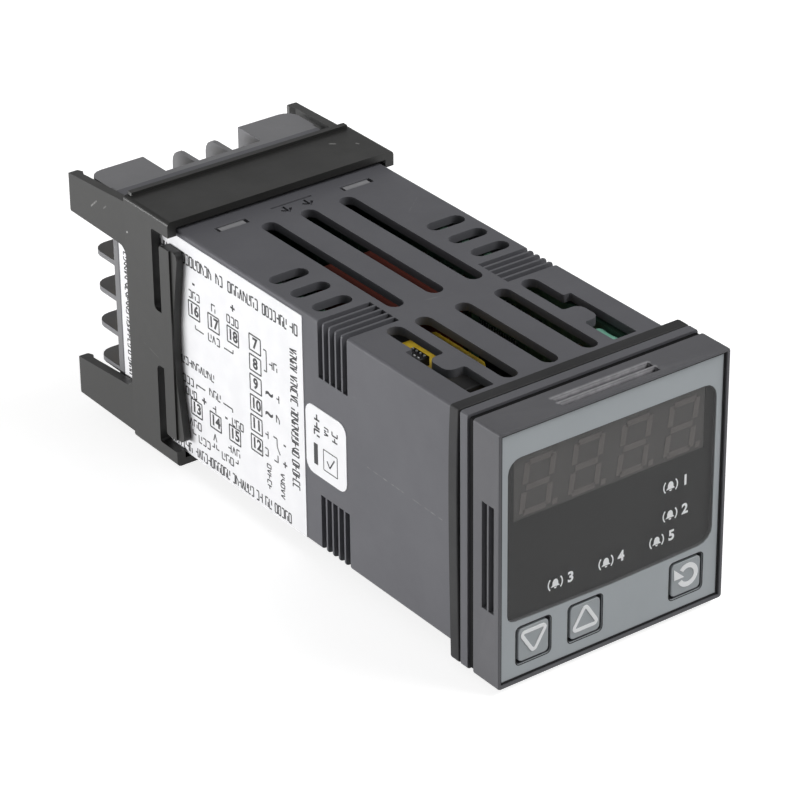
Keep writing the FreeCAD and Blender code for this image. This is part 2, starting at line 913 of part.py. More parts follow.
def smoothing_capacitors():
    """Electrolytic capacitors standing on the power board."""
    cans = []
    for i in range(capacitor_count):
        y = relay_start + capacitor_r + i * capacitor_pitch
        outline = circle(y, capacitor_z, capacitor_r, chord_error)
        cans.append(prism_x(outline, -board_inner, capacitor_len - board_inner))
    return Part.Compound(cans)


def ceramic_capacitor():
    """Small green capacitor at the top front of the processor board."""
    x = board_inner - ceramic_r - chord_error
    z = board_half_h + ceramic_rise - ceramic_r - chord_error
    return prism_y(circle(x, z, ceramic_r, chord_error), ceramic_y, ceramic_y + ceramic_len)


def board_headers():
    """Headers from the display board to the main boards, to the output board, and on the power board."""
    y0, y1 = display_board_back, display_board_back + header_len
    half = header_h / 2
    header = block(board_inner - header_w, board_inner, y0, y1, -half, half)
    y2 = board_rear - link_from_rear
    rise = link_h / 2
    link = block(output_board_x + board_t, board_inner, y2, y2 + link_len, -rise, rise)
    pins = on_power_board(pins_reach, winding_start + pins_start, pins_len, board_half_h - pins_h, pins_h)
    return Part.Compound([header, mirrored_x(header), link, pins])


def processor_chip():
    """Flat square chip on the processor board's inner face."""
    half = chip_w / 2
    return block(board_inner - chip_t, board_inner, chip_y - half, chip_y + half, -half, half)


def output_relays():
    """Relays, one above the other, on the output board's left face."""
    relays = []
    x0 = output_board_x - relay_reach
    for i in range(relay_count):
        top = relay_top - i * relay_pitch
        relays.append(block(x0, output_board_x, relay_start, relay_start + relay_len, top - relay_h, top))
    return Part.Compound(relays)


pieces = {
    "case_sleeve": case_sleeve(),
    "rear_terminal_block": rear_terminal_block(),
    "terminal_contacts": terminal_contacts(),
    "wire_clamps": wire_clamps(),
    "terminal_screws": terminal_screws(),
    "panel_gasket": panel_gasket(),
    "wiring_label": wiring_label(),
    "inspection_label": inspection_label(),
    "mounting_clamp": mounting_clamp(),
    "bezel": bezel(),
    "bezel_seal": bezel_seal(),
    "front_overlay": front_overlay(),
    "display_window": display_window(),
    "down_key": key(key_places[0]),
    "up_key": key(key_places[1]),
    "scroll_key": key(key_places[2]),
    "display_board": display_board(),
    "display_module": display_module(),
    "digit_segments": digit_segments(),
    "alarm_lamps": alarm_lamps(),
    "key_switches": key_switches(),
    "power_board": main_board(-board_outer),
    "processor_board": main_board(board_inner),
    "output_board": output_board(),
    "board_headers": board_headers(),
    "transformer_core": transformer_core(),
    "transformer_winding": transformer_winding(),
    "suppression_capacitor": suppression_capacitor(),
    "smoothing_capacitors": smoothing_capacitors(),
    "ceramic_capacitor": ceramic_capacitor(),
    "processor_chip": processor_chip(),
    "output_relays": output_relays(),
}

os.makedirs("parts", exist_ok=True)
for name, shape in pieces.items():
    shape.exportStep(os.path.join("parts", name + ".step"))
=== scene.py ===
"""Looks of the digital panel meter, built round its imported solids, in millimetres until a mesh is made."""
import json
import math
import random

import bmesh
import bpy
from mathutils import Matrix, Vector

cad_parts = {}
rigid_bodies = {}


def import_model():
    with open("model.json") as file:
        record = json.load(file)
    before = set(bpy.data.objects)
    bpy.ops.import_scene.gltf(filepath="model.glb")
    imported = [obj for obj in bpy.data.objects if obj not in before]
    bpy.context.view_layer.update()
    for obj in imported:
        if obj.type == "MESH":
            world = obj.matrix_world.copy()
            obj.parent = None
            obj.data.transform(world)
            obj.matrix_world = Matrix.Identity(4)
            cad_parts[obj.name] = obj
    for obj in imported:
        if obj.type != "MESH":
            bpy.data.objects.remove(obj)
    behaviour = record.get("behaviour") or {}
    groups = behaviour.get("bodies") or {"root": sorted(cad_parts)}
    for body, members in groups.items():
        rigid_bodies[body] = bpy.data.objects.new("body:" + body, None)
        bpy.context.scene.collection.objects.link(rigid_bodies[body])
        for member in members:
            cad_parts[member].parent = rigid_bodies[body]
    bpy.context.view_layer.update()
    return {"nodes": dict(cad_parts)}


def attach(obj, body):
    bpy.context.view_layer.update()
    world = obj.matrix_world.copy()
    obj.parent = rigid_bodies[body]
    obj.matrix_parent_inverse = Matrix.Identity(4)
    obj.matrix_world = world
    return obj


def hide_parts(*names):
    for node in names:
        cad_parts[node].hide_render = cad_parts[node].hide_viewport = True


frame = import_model()
nodes = frame["nodes"]

# Case sleeve: the square tube that goes through the panel, with its flange, vents and ratchet grooves. It is
# charcoal polycarbonate, injection moulded in one shot in a spark-eroded tool, so it is evenly matt. A bar
# and two arrows for its upper side are sunk into the top, and a long scratch crosses the left side.
mm = 0.001
weld_gap = 0.001
flat_turn, sharp_turn = math.radians(1), math.radians(50)
noise_low, noise_high = 0.3, 0.7
gloss_play = 0.06


def shade(tree, kind, inputs=None, **settings):
    """Adds a shader node, with its settings first and then its values or links."""
    node = tree.nodes.new("ShaderNode" + kind)
    for key, value in settings.items():
        setattr(node, key, value)
    for key, value in (inputs or {}).items():
        if isinstance(value, bpy.types.NodeSocket):
            tree.links.new(value, node.inputs[key])
        else:
            node.inputs[key].default_value = value
    return node


def effect(name, takes, gives):
    """Starts a shared effect, and returns its tree, what it takes and where its results go."""
    tree = bpy.data.node_groups.new(name, "ShaderNodeTree")
    for socket, kind in takes.items():
        tree.interface.new_socket(socket, in_out="INPUT", socket_type="NodeSocket" + kind)
    for socket in gives:
        tree.interface.new_socket(socket, in_out="OUTPUT", socket_type="NodeSocketFloat")
    return tree, tree.nodes.new("NodeGroupInput").outputs, tree.nodes.new("NodeGroupOutput").inputs


def blend_colours(tree, share, first, second):
    """Colour between two others."""
    node = shade(tree, "Mix", {0: share}, data_type="RGBA")
    for index, colour in ((6, first), (7, second)):
        if isinstance(colour, bpy.types.NodeSocket):
            tree.links.new(colour, node.inputs[index])
        else:
            node.inputs[index].default_value = (*colour, 1)
    return node.outputs[2]


def spread(tree, value, low, high, bottom, top):
    """Value between bottom and top where another runs from low to high."""
    limits = {"From Min": low, "From Max": high, "To Min": bottom, "To Max": top}
    return shade(tree, "MapRange", {"Value": value, **limits}).outputs[0]


def mottled(tree, noise, bottom=0.0, top=1.0):
    """Value between bottom and top over the usual run of a noise."""
    return spread(tree, noise, noise_low, noise_high, bottom, top)


grain, taken, given = effect("moulded_grain", {"Place": "Vector", "Pitch": "Float"}, ["Height", "Cloud"])
pits = {"Vector": taken["Place"], "Scale": taken["Pitch"], "Detail": 2.0, "Roughness": 0.6}
clouds = {"Vector": taken["Place"], "Scale": 55.0, "Detail": 5.0, "Roughness": 0.65}
grain.links.new(shade(grain, "TexNoise", pits).outputs[0], given["Height"])
grain.links.new(shade(grain, "TexNoise", clouds).outputs[0], given["Cloud"])

# Streak effect: a line-shaped mask used both for real scratches and scuffs and for painted highlights.
streak_takes = {"Place": "Vector", "From": "Vector", "To": "Vector", "Width": "Float", "Least": "Float"}
wear_and_highlight, taken, given = effect("wear_and_highlight_streak", streak_takes, ["Mask"])
run = shade(wear_and_highlight, "VectorMath", {0: taken["To"], 1: taken["From"]}, operation="SUBTRACT").outputs[0]
off = shade(wear_and_highlight, "VectorMath", {0: taken["Place"], 1: taken["From"]}, operation="SUBTRACT").outputs[0]
reach = shade(wear_and_highlight, "VectorMath", {0: off, 1: run}, operation="DOT_PRODUCT").outputs["Value"]
length = shade(wear_and_highlight, "VectorMath", {0: run, 1: run}, operation="DOT_PRODUCT").outputs["Value"]
share = shade(wear_and_highlight, "Math", {0: reach, 1: length}, operation="DIVIDE", use_clamp=True).outputs[0]
foot = shade(wear_and_highlight, "VectorMath", {0: run, "Scale": share}, operation="SCALE").outputs[0]
gap = shade(wear_and_highlight, "VectorMath", {0: off, 1: foot}, operation="DISTANCE").outputs["Value"]
core = spread(wear_and_highlight, gap, 0.0, taken["Width"], 1.0, 0.0)
skips = shade(wear_and_highlight, "TexNoise", {"Vector": taken["Place"], "Scale": 700.0, "Detail": 3.0}).outputs[0]
broken = spread(wear_and_highlight, skips, 0.42, 0.6, taken["Least"], 1.0)
wear_and_highlight.links.new(shade(wear_and_highlight, "Math", {0: core, 1: broken}, operation="MULTIPLY").outputs[0], given["Mask"])


def blank(name):
    """New material with its surface shader and the place on the object."""
    material = bpy.data.materials.new(name)
    material.use_nodes = True
    tree = material.node_tree
    return material, tree, tree.nodes["Principled BSDF"], shade(tree, "TexCoord").outputs["Object"]


def feed(tree, surface, colour, rough, height=None, strength=0.0, depth=0.0):
    """Links a surface's colour and roughness and, where it has one, its relief."""
    tree.links.new(colour, surface.inputs["Base Color"])
    tree.links.new(rough, surface.inputs["Roughness"])
    if height is not None:
        bump = shade(tree, "Bump", {"Height": height, "Strength": strength, "Distance": depth * mm})
        tree.links.new(bump.outputs[0], surface.inputs["Normal"])


def moulded(
    name, colour, deep, rough, pitch=5200.0, depth=0.02, sheen=0.25,
    marks=(), mark_colour=(0.4, 0.4, 0.4), least=0.0,
):
    """Grained surface in two close tones, with streaks of (start, end, width, strength) used for wear marks
    and for painted highlights.
    """
    material, tree, surface, place = blank(name)
    skin = shade(tree, "Group", {"Place": place, "Pitch": pitch}, node_tree=grain).outputs
    tone = blend_colours(tree, mottled(tree, skin["Cloud"]), deep, colour)
    for start, end, width, strength in marks:
        ends = {"From": Vector(start) * mm, "To": Vector(end) * mm, "Width": width * mm, "Least": least}
        mark = shade(tree, "Group", {"Place": place, **ends}, node_tree=wear_and_highlight).outputs["Mask"]
        tone = blend_colours(tree, spread(tree, mark, 0.0, 1.0, 0.0, strength), tone, mark_colour)
    worn = mottled(tree, skin["Cloud"], rough + gloss_play, rough - gloss_play)
    feed(tree, surface, tone, worn, skin["Height"], 0.5, depth)
    surface.inputs["Specular IOR Level"].default_value = sheen
    return material


def as_mesh(bm, name="repeated"):
    """Mesh of a finished bmesh, which it uses up."""
    mesh = bpy.data.meshes.new(name)
    bm.to_mesh(mesh)
    bm.free()
    return mesh


def show(name, data):
    """New object in the scene."""
    thing = bpy.data.objects.new(name, data)
    bpy.context.scene.collection.objects.link(thing)
    return thing


def finish_piece(bm, name, material, body, stands_for=()):
    """Makes a piece of a bmesh: in metres, smooth between its sharp edges, riding on its body."""
    bmesh.ops.scale(bm, vec=(mm, mm, mm), verts=bm.verts)
    for face in bm.faces:
        face.smooth = True
    for edge in bm.edges:
        edge.smooth = edge.is_manifold and edge.calc_face_angle() < sharp_turn
    piece = show(name, as_mesh(bm, name))
    piece.data.materials.append(material)
    piece.modifiers.new("even_shading", "WEIGHTED_NORMAL").keep_sharp = True
    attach(piece, body)
    if stands_for:
        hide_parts(*stands_for)


def solid_copy(node):
    """A solid's own faces, merged from its loose triangles, in millimetres."""
    bm = bmesh.new()
    bm.from_mesh(nodes[node].data)
    bmesh.ops.scale(bm, vec=(1 / mm, 1 / mm, 1 / mm), verts=bm.verts)
    bmesh.ops.remove_doubles(bm, verts=bm.verts, dist=weld_gap)
    bmesh.ops.dissolve_limit(bm, angle_limit=flat_turn, verts=bm.verts, edges=bm.edges)
    return bm


def ease(bm, amount, edges=None, segments=2):
    """Rounds the sharp edges."""
    if edges is None:
        edges = [e for e in bm.edges if e.is_manifold and e.calc_face_angle() > sharp_turn]
    bmesh.ops.bevel(
        bm, geom=edges, offset=amount, offset_type="OFFSET", segments=segments, profile=0.5,
        affect="EDGES", clamp_overlap=True, material=-1,
    )


left_face, top_face = -22.4, 22.4
nicks = [
    ((left_face, 26.5, 0.35), (left_face, 3.2, -0.15), 0.16, 0.35),
    ((left_face, 18.0, -9.0), (left_face, 15.5, -10.2), 0.12, 0.12),
    ((left_face, 30.0, 12.0), (left_face, 24.0, 12.6), 0.1, 0.1),
    ((-4.0, 33.4, top_face), (1.5, 32.6, top_face), 0.3, 0.12),
    ((14.0, 62.0, top_face), (19.0, 66.0, top_face), 0.12, 0.12),
]
sleeve_plastic = moulded(
    "sleeve_plastic", (0.118, 0.1185, 0.130), (0.108, 0.1085, 0.119), 0.52, sheen=0.2, marks=nicks
)


def plate(bm, outline, lift):
    """Flat plate from the outline's points, as thick as the lift."""
    face = bm.faces.new([bm.verts.new(point) for point in outline])
    grown = bmesh.ops.extrude_face_region(bm, geom=[face])["geom"]
    bmesh.ops.translate(bm, vec=lift, verts=[v for v in grown if isinstance(v, bmesh.types.BMVert)])
    bmesh.ops.recalc_face_normals(bm, faces=bm.faces)


def cut_away(bm, tool):
    """What is left of one closed mesh when another is taken out of it."""
    whole, knife = (show("cutting", as_mesh(source, "cutting")) for source in (bm, tool))
    cutting = whole.modifiers.new("cutting", "BOOLEAN")
    cutting.object, cutting.operation, cutting.solver = knife, "DIFFERENCE", "EXACT"
    worked_out = bpy.context.evaluated_depsgraph_get()
    result = bpy.data.meshes.new_from_object(whole.evaluated_get(worked_out))
    left = bmesh.new()
    left.from_mesh(result)
    for mesh in (result, whole.data, knife.data):
        bpy.data.meshes.remove(mesh)
    return left


mark_top, mark_floor, mark_line, mark_rear, bar_half = 22.6, 22.05, 0.5, 78.4, 4.4
arrow_len, arrow_half, arrow_x, arrow_gap = 2.9, 1.25, 2.3, 0.3
slant, mitre = mark_line * math.sin(math.pi / 4), mark_line / 2 + mark_line * math.sqrt(2)
barb = arrow_len - arrow_half
half_arrow = [
    (mark_line / 2, arrow_gap), (mark_line / 2, arrow_len - mitre),
    (arrow_half - slant, barb - slant), (arrow_half, barb),
]
arrow = half_arrow + [(0, arrow_len)] + [(-u, v) for u, v in reversed(half_arrow)]
bar = [(-bar_half, -mark_line), (bar_half, -mark_line), (bar_half, 0), (-bar_half, 0)]
tool = bmesh.new()
for shape, x in ((arrow, -arrow_x), (arrow, arrow_x), (bar, 0)):
    outline = [(x + u, mark_rear - mark_line - v, mark_floor) for u, v in shape]
    plate(tool, outline, (0, 0, mark_top - mark_floor))
bm = solid_copy("case_sleeve")
ease(bm, 0.06)
finish_piece(cut_away(bm, tool), "sleeve", sleeve_plastic, "case", ["case_sleeve"])

# Panel gasket: a square ring of soft black rubber pushed over the sleeve against its flange.
# It is die cut and loose, and on the left side it has bowed back from the flange.
gasket_rubber = moulded(
    "gasket_rubber", (0.03, 0.03, 0.031), (0.022, 0.022, 0.023), 0.62, pitch=2600.0, depth=0.03
)
gasket_t, gasket_half, slack = 2.9, 24.0, 0.3
bow_x, bow_front, bow_rear, bow_droop, tuck = -21, 0.5, 0.52, 0.7, 0.1
bm = solid_copy("panel_gasket")
for z in range(-18, 19, 3):
    cut = bm.verts[:] + bm.edges[:] + bm.faces[:]
    bmesh.ops.bisect_plane(bm, geom=cut, dist=weld_gap, plane_co=(0, 0, z), plane_no=(0, 0, 1))
ease(bm, 0.3, segments=3)
for vert in bm.verts:
    front, rear = slack, 0.0
    if vert.co.x < bow_x:
        down = min(1.0, max(0.0, (gasket_half - vert.co.z) / (2 * gasket_half)))
        bow = math.sin(math.pi * down ** bow_droop)
        front, rear = slack + tuck + bow_front * bow, bow_rear * bow - tuck
    vert.co.y += front + (rear - front) * (vert.co.y + gasket_t) / gasket_t
finish_piece(bm, "gasket", gasket_rubber, "case", ["panel_gasket"])

# Labels on the left side: white polyester film with dark print, laid on by hand. The wiring label shows the
# terminals as numbered boxes with brackets and contact marks, and the small one is an inspection sticker.
# Their rows of print are small plain line shapes.
label_film, tree, surface, place = blank("label_film")
fibres = shade(tree, "TexNoise", {"Vector": place, "Scale": 260.0, "Detail": 6.0}).outputs[0]
tint = spread(tree, fibres, 0.35, 0.65, 0.0, 1.0)
film_white = blend_colours(tree, tint, (0.80, 0.80, 0.82), (0.84, 0.84, 0.855))
feed(tree, surface, film_white, spread(tree, fibres, 0.35, 0.65, 0.36, 0.5), fibres, 0.25, 0.03)


def coat(node, material):
    """Gives a solid that is shown as it is its finish."""
    nodes[node].data.materials.clear()
    nodes[node].data.materials.append(material)


for node in ("wiring_label", "inspection_label"):
    coat(node, label_film)

ink = moulded("label_ink", (0.035, 0.035, 0.037), (0.055, 0.055, 0.058), 0.5, pitch=3000.0, depth=0.004)
ink_t, ink_sink = 0.02, 0.01
label_face, label_rear = -22.52, 100.6
facing_left = Matrix(((0, 0, -1), (-1, 0, 0), (0, 1, 0))).to_4x4()


def ink_line(bm, start, end, width):
    """Stroke on the left side between two points, given from the label's rear edge and by height."""
    a, b = (Vector((label_face, label_rear - u, z)) for u, z in (start, end))
    turn = Matrix.Rotation(math.atan2(b.z - a.z, b.y - a.y), 4, "X")
    size = Matrix.Diagonal((ink_t + ink_sink, (b - a).length, width, 1))
    middle = (a + b) / 2 - Vector(((ink_t - ink_sink) / 2, 0, 0))
    bmesh.ops.create_cube(bm, size=1, matrix=Matrix.Translation(middle) @ turn @ size)


def ink_path(bm, points, width=0.27):
    """Joined strokes."""
    for start, end in zip(points, points[1:]):
        ink_line(bm, start, end, width)


line_shapes = [
    [[(0, 0), (0, 1), (1, 1)], [(1, 0), (1, 0.55)]],
    [[(0, 0), (1, 0), (1, 1), (0, 1)]],
    [[(0, 0), (0.5, 1), (1, 0)]],
    [[(0, 1), (0, 0), (1, 0)], [(1, 0.45), (1, 1)]],
    [[(0, 0), (0, 1), (1, 0.5), (1, 0)]],
    [[(0, 0.5), (1, 0.5)], [(1, 0), (1, 1)]],
    [[(0, 0), (0, 1), (1, 1), (1, 0), (0, 0)]],
]
shape_share, shape_inset = 0.66, 0.16
strokes = random.Random(21)


def print_row(bm, start, end, height, pitch=1.2, width=0.26):
    """Row of small line shapes from start to end."""
    start, end = Vector(start), Vector(end)
    count = max(1, round((end - start).length / pitch))
    step = (end - start) / count
    up = Vector((-step.y, step.x)).normalized() * (height - width)
    for i in range(count):
        foot = start + step * (i + shape_inset) - up / 2
        for path in strokes.choice(line_shapes):
            ink_path(bm, [foot + step * (shape_share * u) + up * v for u, v in path], width)


digit_share, boldness = 0.69, 0.05


def numerals(bm, text, height, place):
    """Plain numbers or signs as thin solid print, centred on their place."""
    curve = bpy.data.curves.new("numerals", "FONT")
    curve.body, curve.size, curve.extrude = text, height / digit_share, ink_t / 2
    curve.resolution_u, curve.offset = 3, boldness * height
    curve.align_x, curve.align_y = "CENTER", "CENTER"
    holder = bpy.data.objects.new("numerals", curve)
    mesh = bpy.data.meshes.new_from_object(holder)
    mesh.transform(place)
    bm.from_mesh(mesh)
    for used, store in ((holder, bpy.data.objects), (mesh, bpy.data.meshes), (curve, bpy.data.curves)):
        store.remove(used)
    bmesh.ops.remove_doubles(bm, verts=bm.verts, dist=weld_gap)


def side_numerals(bm, text, u, z, height):
    """Numbers on the label."""
    spot = Vector((label_face - ink_t / 2, label_rear - u, z))
    numerals(bm, text, height, Matrix.Translation(spot) @ facing_left)


box_w, box_h, box_line, box_number = 1.72, 1.55, 0.29, 2.0


def terminal_box(bm, number, u, z):
    """Numbered box of one terminal."""
    low, high = (u - box_w, z - box_h), (u + box_w, z + box_h)
    ink_path(bm, [low, (high[0], low[1]), high, (low[0], high[1]), low], box_line)
    side_numerals(bm, str(number), u, z, box_number)


bm = bmesh.new()
for number, u, z in (
    (16, 24.27, 8.52), (17, 30.4, 8.52), (18, 36.4, 8.52),
    (13, 23.85, -11.46), (14, 29.9, -11.46), (15, 36.0, -11.46),
):
    terminal_box(bm, number, u, z)
front_u, front_lean, rear_u = 43.2, 0.06, 12.6
front_rows, rear_rows = (9.83, 5.85, 1.9, -2.2, -6.2, -10.2), (9.9, 5.9, 1.9, -2.1, -6.1, -10.1)
for i, (z_front, z_rear) in enumerate(zip(front_rows, rear_rows)):
    terminal_box(bm, 7 + i, front_u - front_lean * i, z_front)
    terminal_box(bm, 1 + i, rear_u, z_rear)
level_rows = (
    (17.9, 2.25, 1.12, 0.3, (
        (12.2, 19.5), (20.9, 30.3), (31.5, 33.8), (35.2, 44.6), (45.7, 53.2), (53.8, 56.4),
    )),
    (-20.6, 2.1, 1.03, 0.27, (
        (12.4, 18.3), (19.0, 21.9), (22.8, 34.0), (34.7, 41.5), (42.1, 44.2), (44.9, 47.1), (47.8, 53.1),
    )),
)
for z, height, pitch, width, spans in level_rows:
    for u0, u1 in spans:
        print_row(bm, (u0, z), (u1, z), height, pitch, width)
upright_rows = (
    (54.8, 2.3, 0.95, 0.28, ((-13.7, -8.0), (-7.2, 2.2), (3.0, 8.8), (9.5, 14.0))),
    (2.1, 1.5, 0.95, 0.26, ((-13.9, -10.3), (-9.8, -8.8), (-8.3, -2.0), (-1.4, 5.1), (5.7, 11.3))),
    (46.5, 1.4, 1.0, 0.24, ((-17.7, -12.4),)),
    (50.6, 1.4, 1.0, 0.24, ((-17.7, -12.4),)),
)
for u, height, pitch, width, spans in upright_rows:
    for z0, z1 in spans:
        print_row(bm, (u, z0), (u, z1), height, pitch, width)
small_row = 1.7
for u0, u1, z in (
    (22.6, 26.3, 11.5), (29.7, 31.3, 11.5), (34.5, 38.4, 11.5), (28.4, 32.3, 5.25), (47.2, 50.0, 7.8),
    (49.2, 50.3, 1.9), (49.0, 50.3, -2.2), (45.4, 46.7, -6.7), (45.2, 46.6, -10.3), (19.5, 30.0, -2.8),
    (18.4, 23.3, -6.6), (28.1, 31.9, -6.0), (20.4, 24.2, -8.9), (28.9, 30.3, -8.9), (35.1, 38.9, -8.9),
    (21.2, 25.3, -14.85), (28.8, 30.3, -14.85), (33.5, 37.5, -14.85), (24.0, 28.0, -17.4),
    (31.4, 35.4, -17.4), (15.2, 17.4, 9.9), (15.2, 17.4, 5.9),
):
    print_row(bm, (u0, z), (u1, z), small_row)
for path in (
    [(24.5, 5.75), (24.5, 5.05), (27.1, 5.05)],
    [(33.5, 5.05), (36.3, 5.05), (36.3, 5.75)],
    [(45.8, 10.0), (46.6, 10.0), (46.6, 5.9), (45.8, 5.9)],
    [(48.1, -6.2), (49.2, -6.2), (49.2, -7.8), (50.05, -9.1)],
    [(48.2, -10.9), (49.35, -10.9), (49.35, -9.5)],
    [(24.1, -7.2), (24.1, -6.4), (26.9, -6.4)],
    [(32.6, -6.4), (35.5, -6.4), (35.5, -7.1)],
    [(22.3, -16.3), (22.3, -17.1), (23.3, -17.1)],
    [(28.5, -17.0), (29.2, -17.0), (29.2, -16.2)],
    [(29.85, -16.2), (29.85, -17.0), (30.7, -17.0)],
    [(35.9, -17.0), (36.7, -17.0), (36.7, -16.2)],
):
    ink_path(bm, path)
for sign, u, z, height in (
    ("-", 24.4, 14.0, 1.7), ("+", 36.6, 14.0, 1.7), ("~", 47.2, 1.9, 2.6), ("~", 47.0, -2.2, 2.6),
    ("-", 51.5, -6.4, 1.5), ("+", 51.5, -10.5, 1.5), ("+", 26.4, -8.9, 1.7), ("-", 33.4, -8.9, 1.7),
):
    side_numerals(bm, sign, u, z, height)
finish_piece(bm, "wiring_print", ink, "case")

bm = bmesh.new()
print_row(bm, (61.4, 4.3), (61.4, -0.3), 1.9, 1.5, 0.36)
ink_line(bm, (60.95, -1.75), (60.95, -5.85), 1.15)
print_row(bm, (64.1, 2.7), (64.1, 0.9), 1.4, 0.9, 0.26)
print_row(bm, (66.6, 2.9), (66.6, 0.7), 1.8, 1.1, 0.29)
ink_path(bm, [(63.2, -1.9), (67.2, -1.9), (67.2, -5.9), (63.2, -5.9), (63.2, -1.9)], 0.2)
ink_path(bm, [(64.2, -3.8), (65.0, -4.9), (66.4, -2.8)], 0.3)
finish_piece(bm, "inspection_print", ink, "case")

# Rear terminal block: the lighter grey polycarbonate moulding that closes the back, with barriers between its
# terminals. Four hooked arms along the sleeve snap into the latch windows, and their tips carry a painted
# highlight.
latch_x, latch_y, latch_z, hook_half = 13.5, 76.95, 22.3, 2.7
# The lighter streaks on the four hook tips are a painted highlight on their sloped tops.
hook_tip_highlights = [
    ((x - hook_half, latch_y, z), (x + hook_half, latch_y, z), 1.0, 0.7)
    for x in (-latch_x, latch_x) for z in (-latch_z, latch_z)
]
block_plastic = moulded(
    "block_plastic", (0.192, 0.192, 0.200), (0.176, 0.176, 0.183), 0.5,
    marks=hook_tip_highlights, mark_colour=(0.34, 0.34, 0.35), least=0.8,
)


def dress(node, name, material, body, edge, segments=2):
    """Makes a piece of a solid as it is, with its edges eased."""
    bm = solid_copy(node)
    ease(bm, edge, segments=segments)
    finish_piece(bm, name, material, body, [node])


dress("rear_terminal_block", "terminal_block", block_plastic, "case", edge=0.1)


# Terminal contacts, wire clamps and screws: stamped brass plates with tails to the boards, square plates of
# nickel-plated steel that press on the wire, and plated slotted screws with turned pan heads.
def plated(name, colour, dull, rough, stretch):
    """Metal with faint drawn lines along one axis."""
    material, tree, surface, place = blank(name)
    lines = shade(tree, "Mapping", {"Vector": place, "Scale": stretch}).outputs[0]
    drawn = shade(tree, "TexNoise", {"Vector": lines, "Scale": 900.0, "Detail": 4.0}).outputs[0]
    tone = blend_colours(tree, mottled(tree, drawn), dull, colour)
    feed(tree, surface, tone, mottled(tree, drawn, rough + 0.1, rough - 0.08), drawn, 0.3, 0.006)
    surface.inputs["Metallic"].default_value = 1.0
    return material


brass = plated("brass", (0.80, 0.60, 0.28), (0.66, 0.47, 0.2), 0.34, (1, 0.15, 1))
steel = plated("plated_steel", (0.70, 0.69, 0.66), (0.56, 0.55, 0.53), 0.32, (1, 1, 0.2))
dress("terminal_contacts", "contacts", brass, "case", edge=0.06)
dress("wire_clamps", "clamp_plates", steel, "case", edge=0.09)


def turned(bm, outline, steps=32):
    """Solid of revolution round the Y axis, from (radius, y) points that start and end on it."""
    rim = [bm.verts.new((r, y, 0)) for r, y in outline]
    line = [bm.edges.new(pair) for pair in zip(rim, rim[1:])]
    bmesh.ops.spin(
        bm, geom=rim + line, cent=(0, 0, 0), axis=(0, 1, 0), dvec=(0, 0, 0),
        angle=math.tau, steps=steps, use_merge=True,
    )
    bmesh.ops.remove_doubles(bm, verts=bm.verts, dist=weld_gap)
    bmesh.ops.dissolve_degenerate(bm, edges=bm.edges, dist=weld_gap)
    bmesh.ops.recalc_face_normals(bm, faces=bm.faces)


def put(bm, mesh, place):
    """Adds a copy of a mesh at its place."""
    copy = mesh.copy()
    copy.transform(place)
    bm.from_mesh(copy)
    bpy.data.meshes.remove(copy)


screw_u, head_seat, head_top, head_r, shank_r, shank_tip = 15.0, 104.3, 106.3, 2.7, 1.5, 101.5
slot_w, slot_depth, bay_pitch, bay_counts, most_turn = 0.7, 0.9, 7.3, (6, 3), 40
bm = bmesh.new()
turned(bm, [
    (0, head_top), (1.7, head_top), (2.2, head_top - 0.12), (2.55, head_top - 0.45),
    (head_r, head_top - 0.95), (head_r, head_seat + 0.12), (head_r - 0.12, head_seat),
    (shank_r, head_seat), (shank_r, shank_tip + 0.3), (shank_r - 0.3, shank_tip), (0, shank_tip),
])
tool = bmesh.new()
size = Matrix.Diagonal((2 * head_r + 1, 2 * slot_depth, slot_w, 1))
bmesh.ops.create_cube(tool, size=1, matrix=Matrix.Translation((0, head_top, 0)) @ size)
slotted = as_mesh(cut_away(bm, tool))
turns = random.Random(4)
bm = bmesh.new()
for quarter in range(4):
    side_turn = Matrix.Rotation(math.radians(90 * quarter), 4, "Y")
    count = bay_counts[quarter % 2]
    for i in range(count):
        slot_turn = Matrix.Rotation(math.radians(turns.uniform(-most_turn, most_turn)), 4, "Y")
        seat = Matrix.Translation((screw_u, 0, (i - (count - 1) / 2) * bay_pitch))
        put(bm, slotted, side_turn @ seat @ slot_turn)
bpy.data.meshes.remove(slotted)
finish_piece(bm, "screws", steel, "case", ["terminal_screws"])

# Instrument boards: four boards of green glass-epoxy laminate that plug in with the front. Two run back
# along the sides, one carries the relays, and one stands across the front. Tracks show as a lighter green.
board_green, tree, surface, place = blank("board_green")
axes = shade(tree, "SeparateXYZ", {0: place}).outputs
along = shade(tree, "Math", {0: axes[1], 1: axes[0]}, operation="ADD").outputs[0]
flat = shade(tree, "CombineXYZ", {0: along, 1: axes[2]}).outputs[0]
track_lines = {"Mortar Size": 0.09, "Mortar Smooth": 0.05, "Brick Width": 1.7, "Row Height": 0.5}
tracks = shade(tree, "TexBrick", {"Vector": flat, "Scale": 330.0, **track_lines}).outputs["Fac"]
laminate = shade(tree, "TexNoise", {"Vector": place, "Scale": 420.0, "Detail": 4.0}).outputs[0]
patches = shade(tree, "TexNoise", {"Vector": place, "Scale": 70.0, "Detail": 0.0}).outputs[0]
plain = blend_colours(tree, mottled(tree, laminate), (0.055, 0.115, 0.080), (0.072, 0.140, 0.100))
tracked = spread(tree, patches, 0.48, 0.52, 0.0, 1.0)
copper = shade(tree, "Math", {0: tracks, 1: tracked}, operation="MULTIPLY").outputs[0]
green = blend_colours(tree, copper, plain, (0.11, 0.21, 0.15))
feed(tree, surface, green, mottled(tree, laminate, 0.28, 0.42), copper, 0.5, 0.035)
for node in ("power_board", "processor_board", "output_board", "display_board"):
    coat(node, board_green)

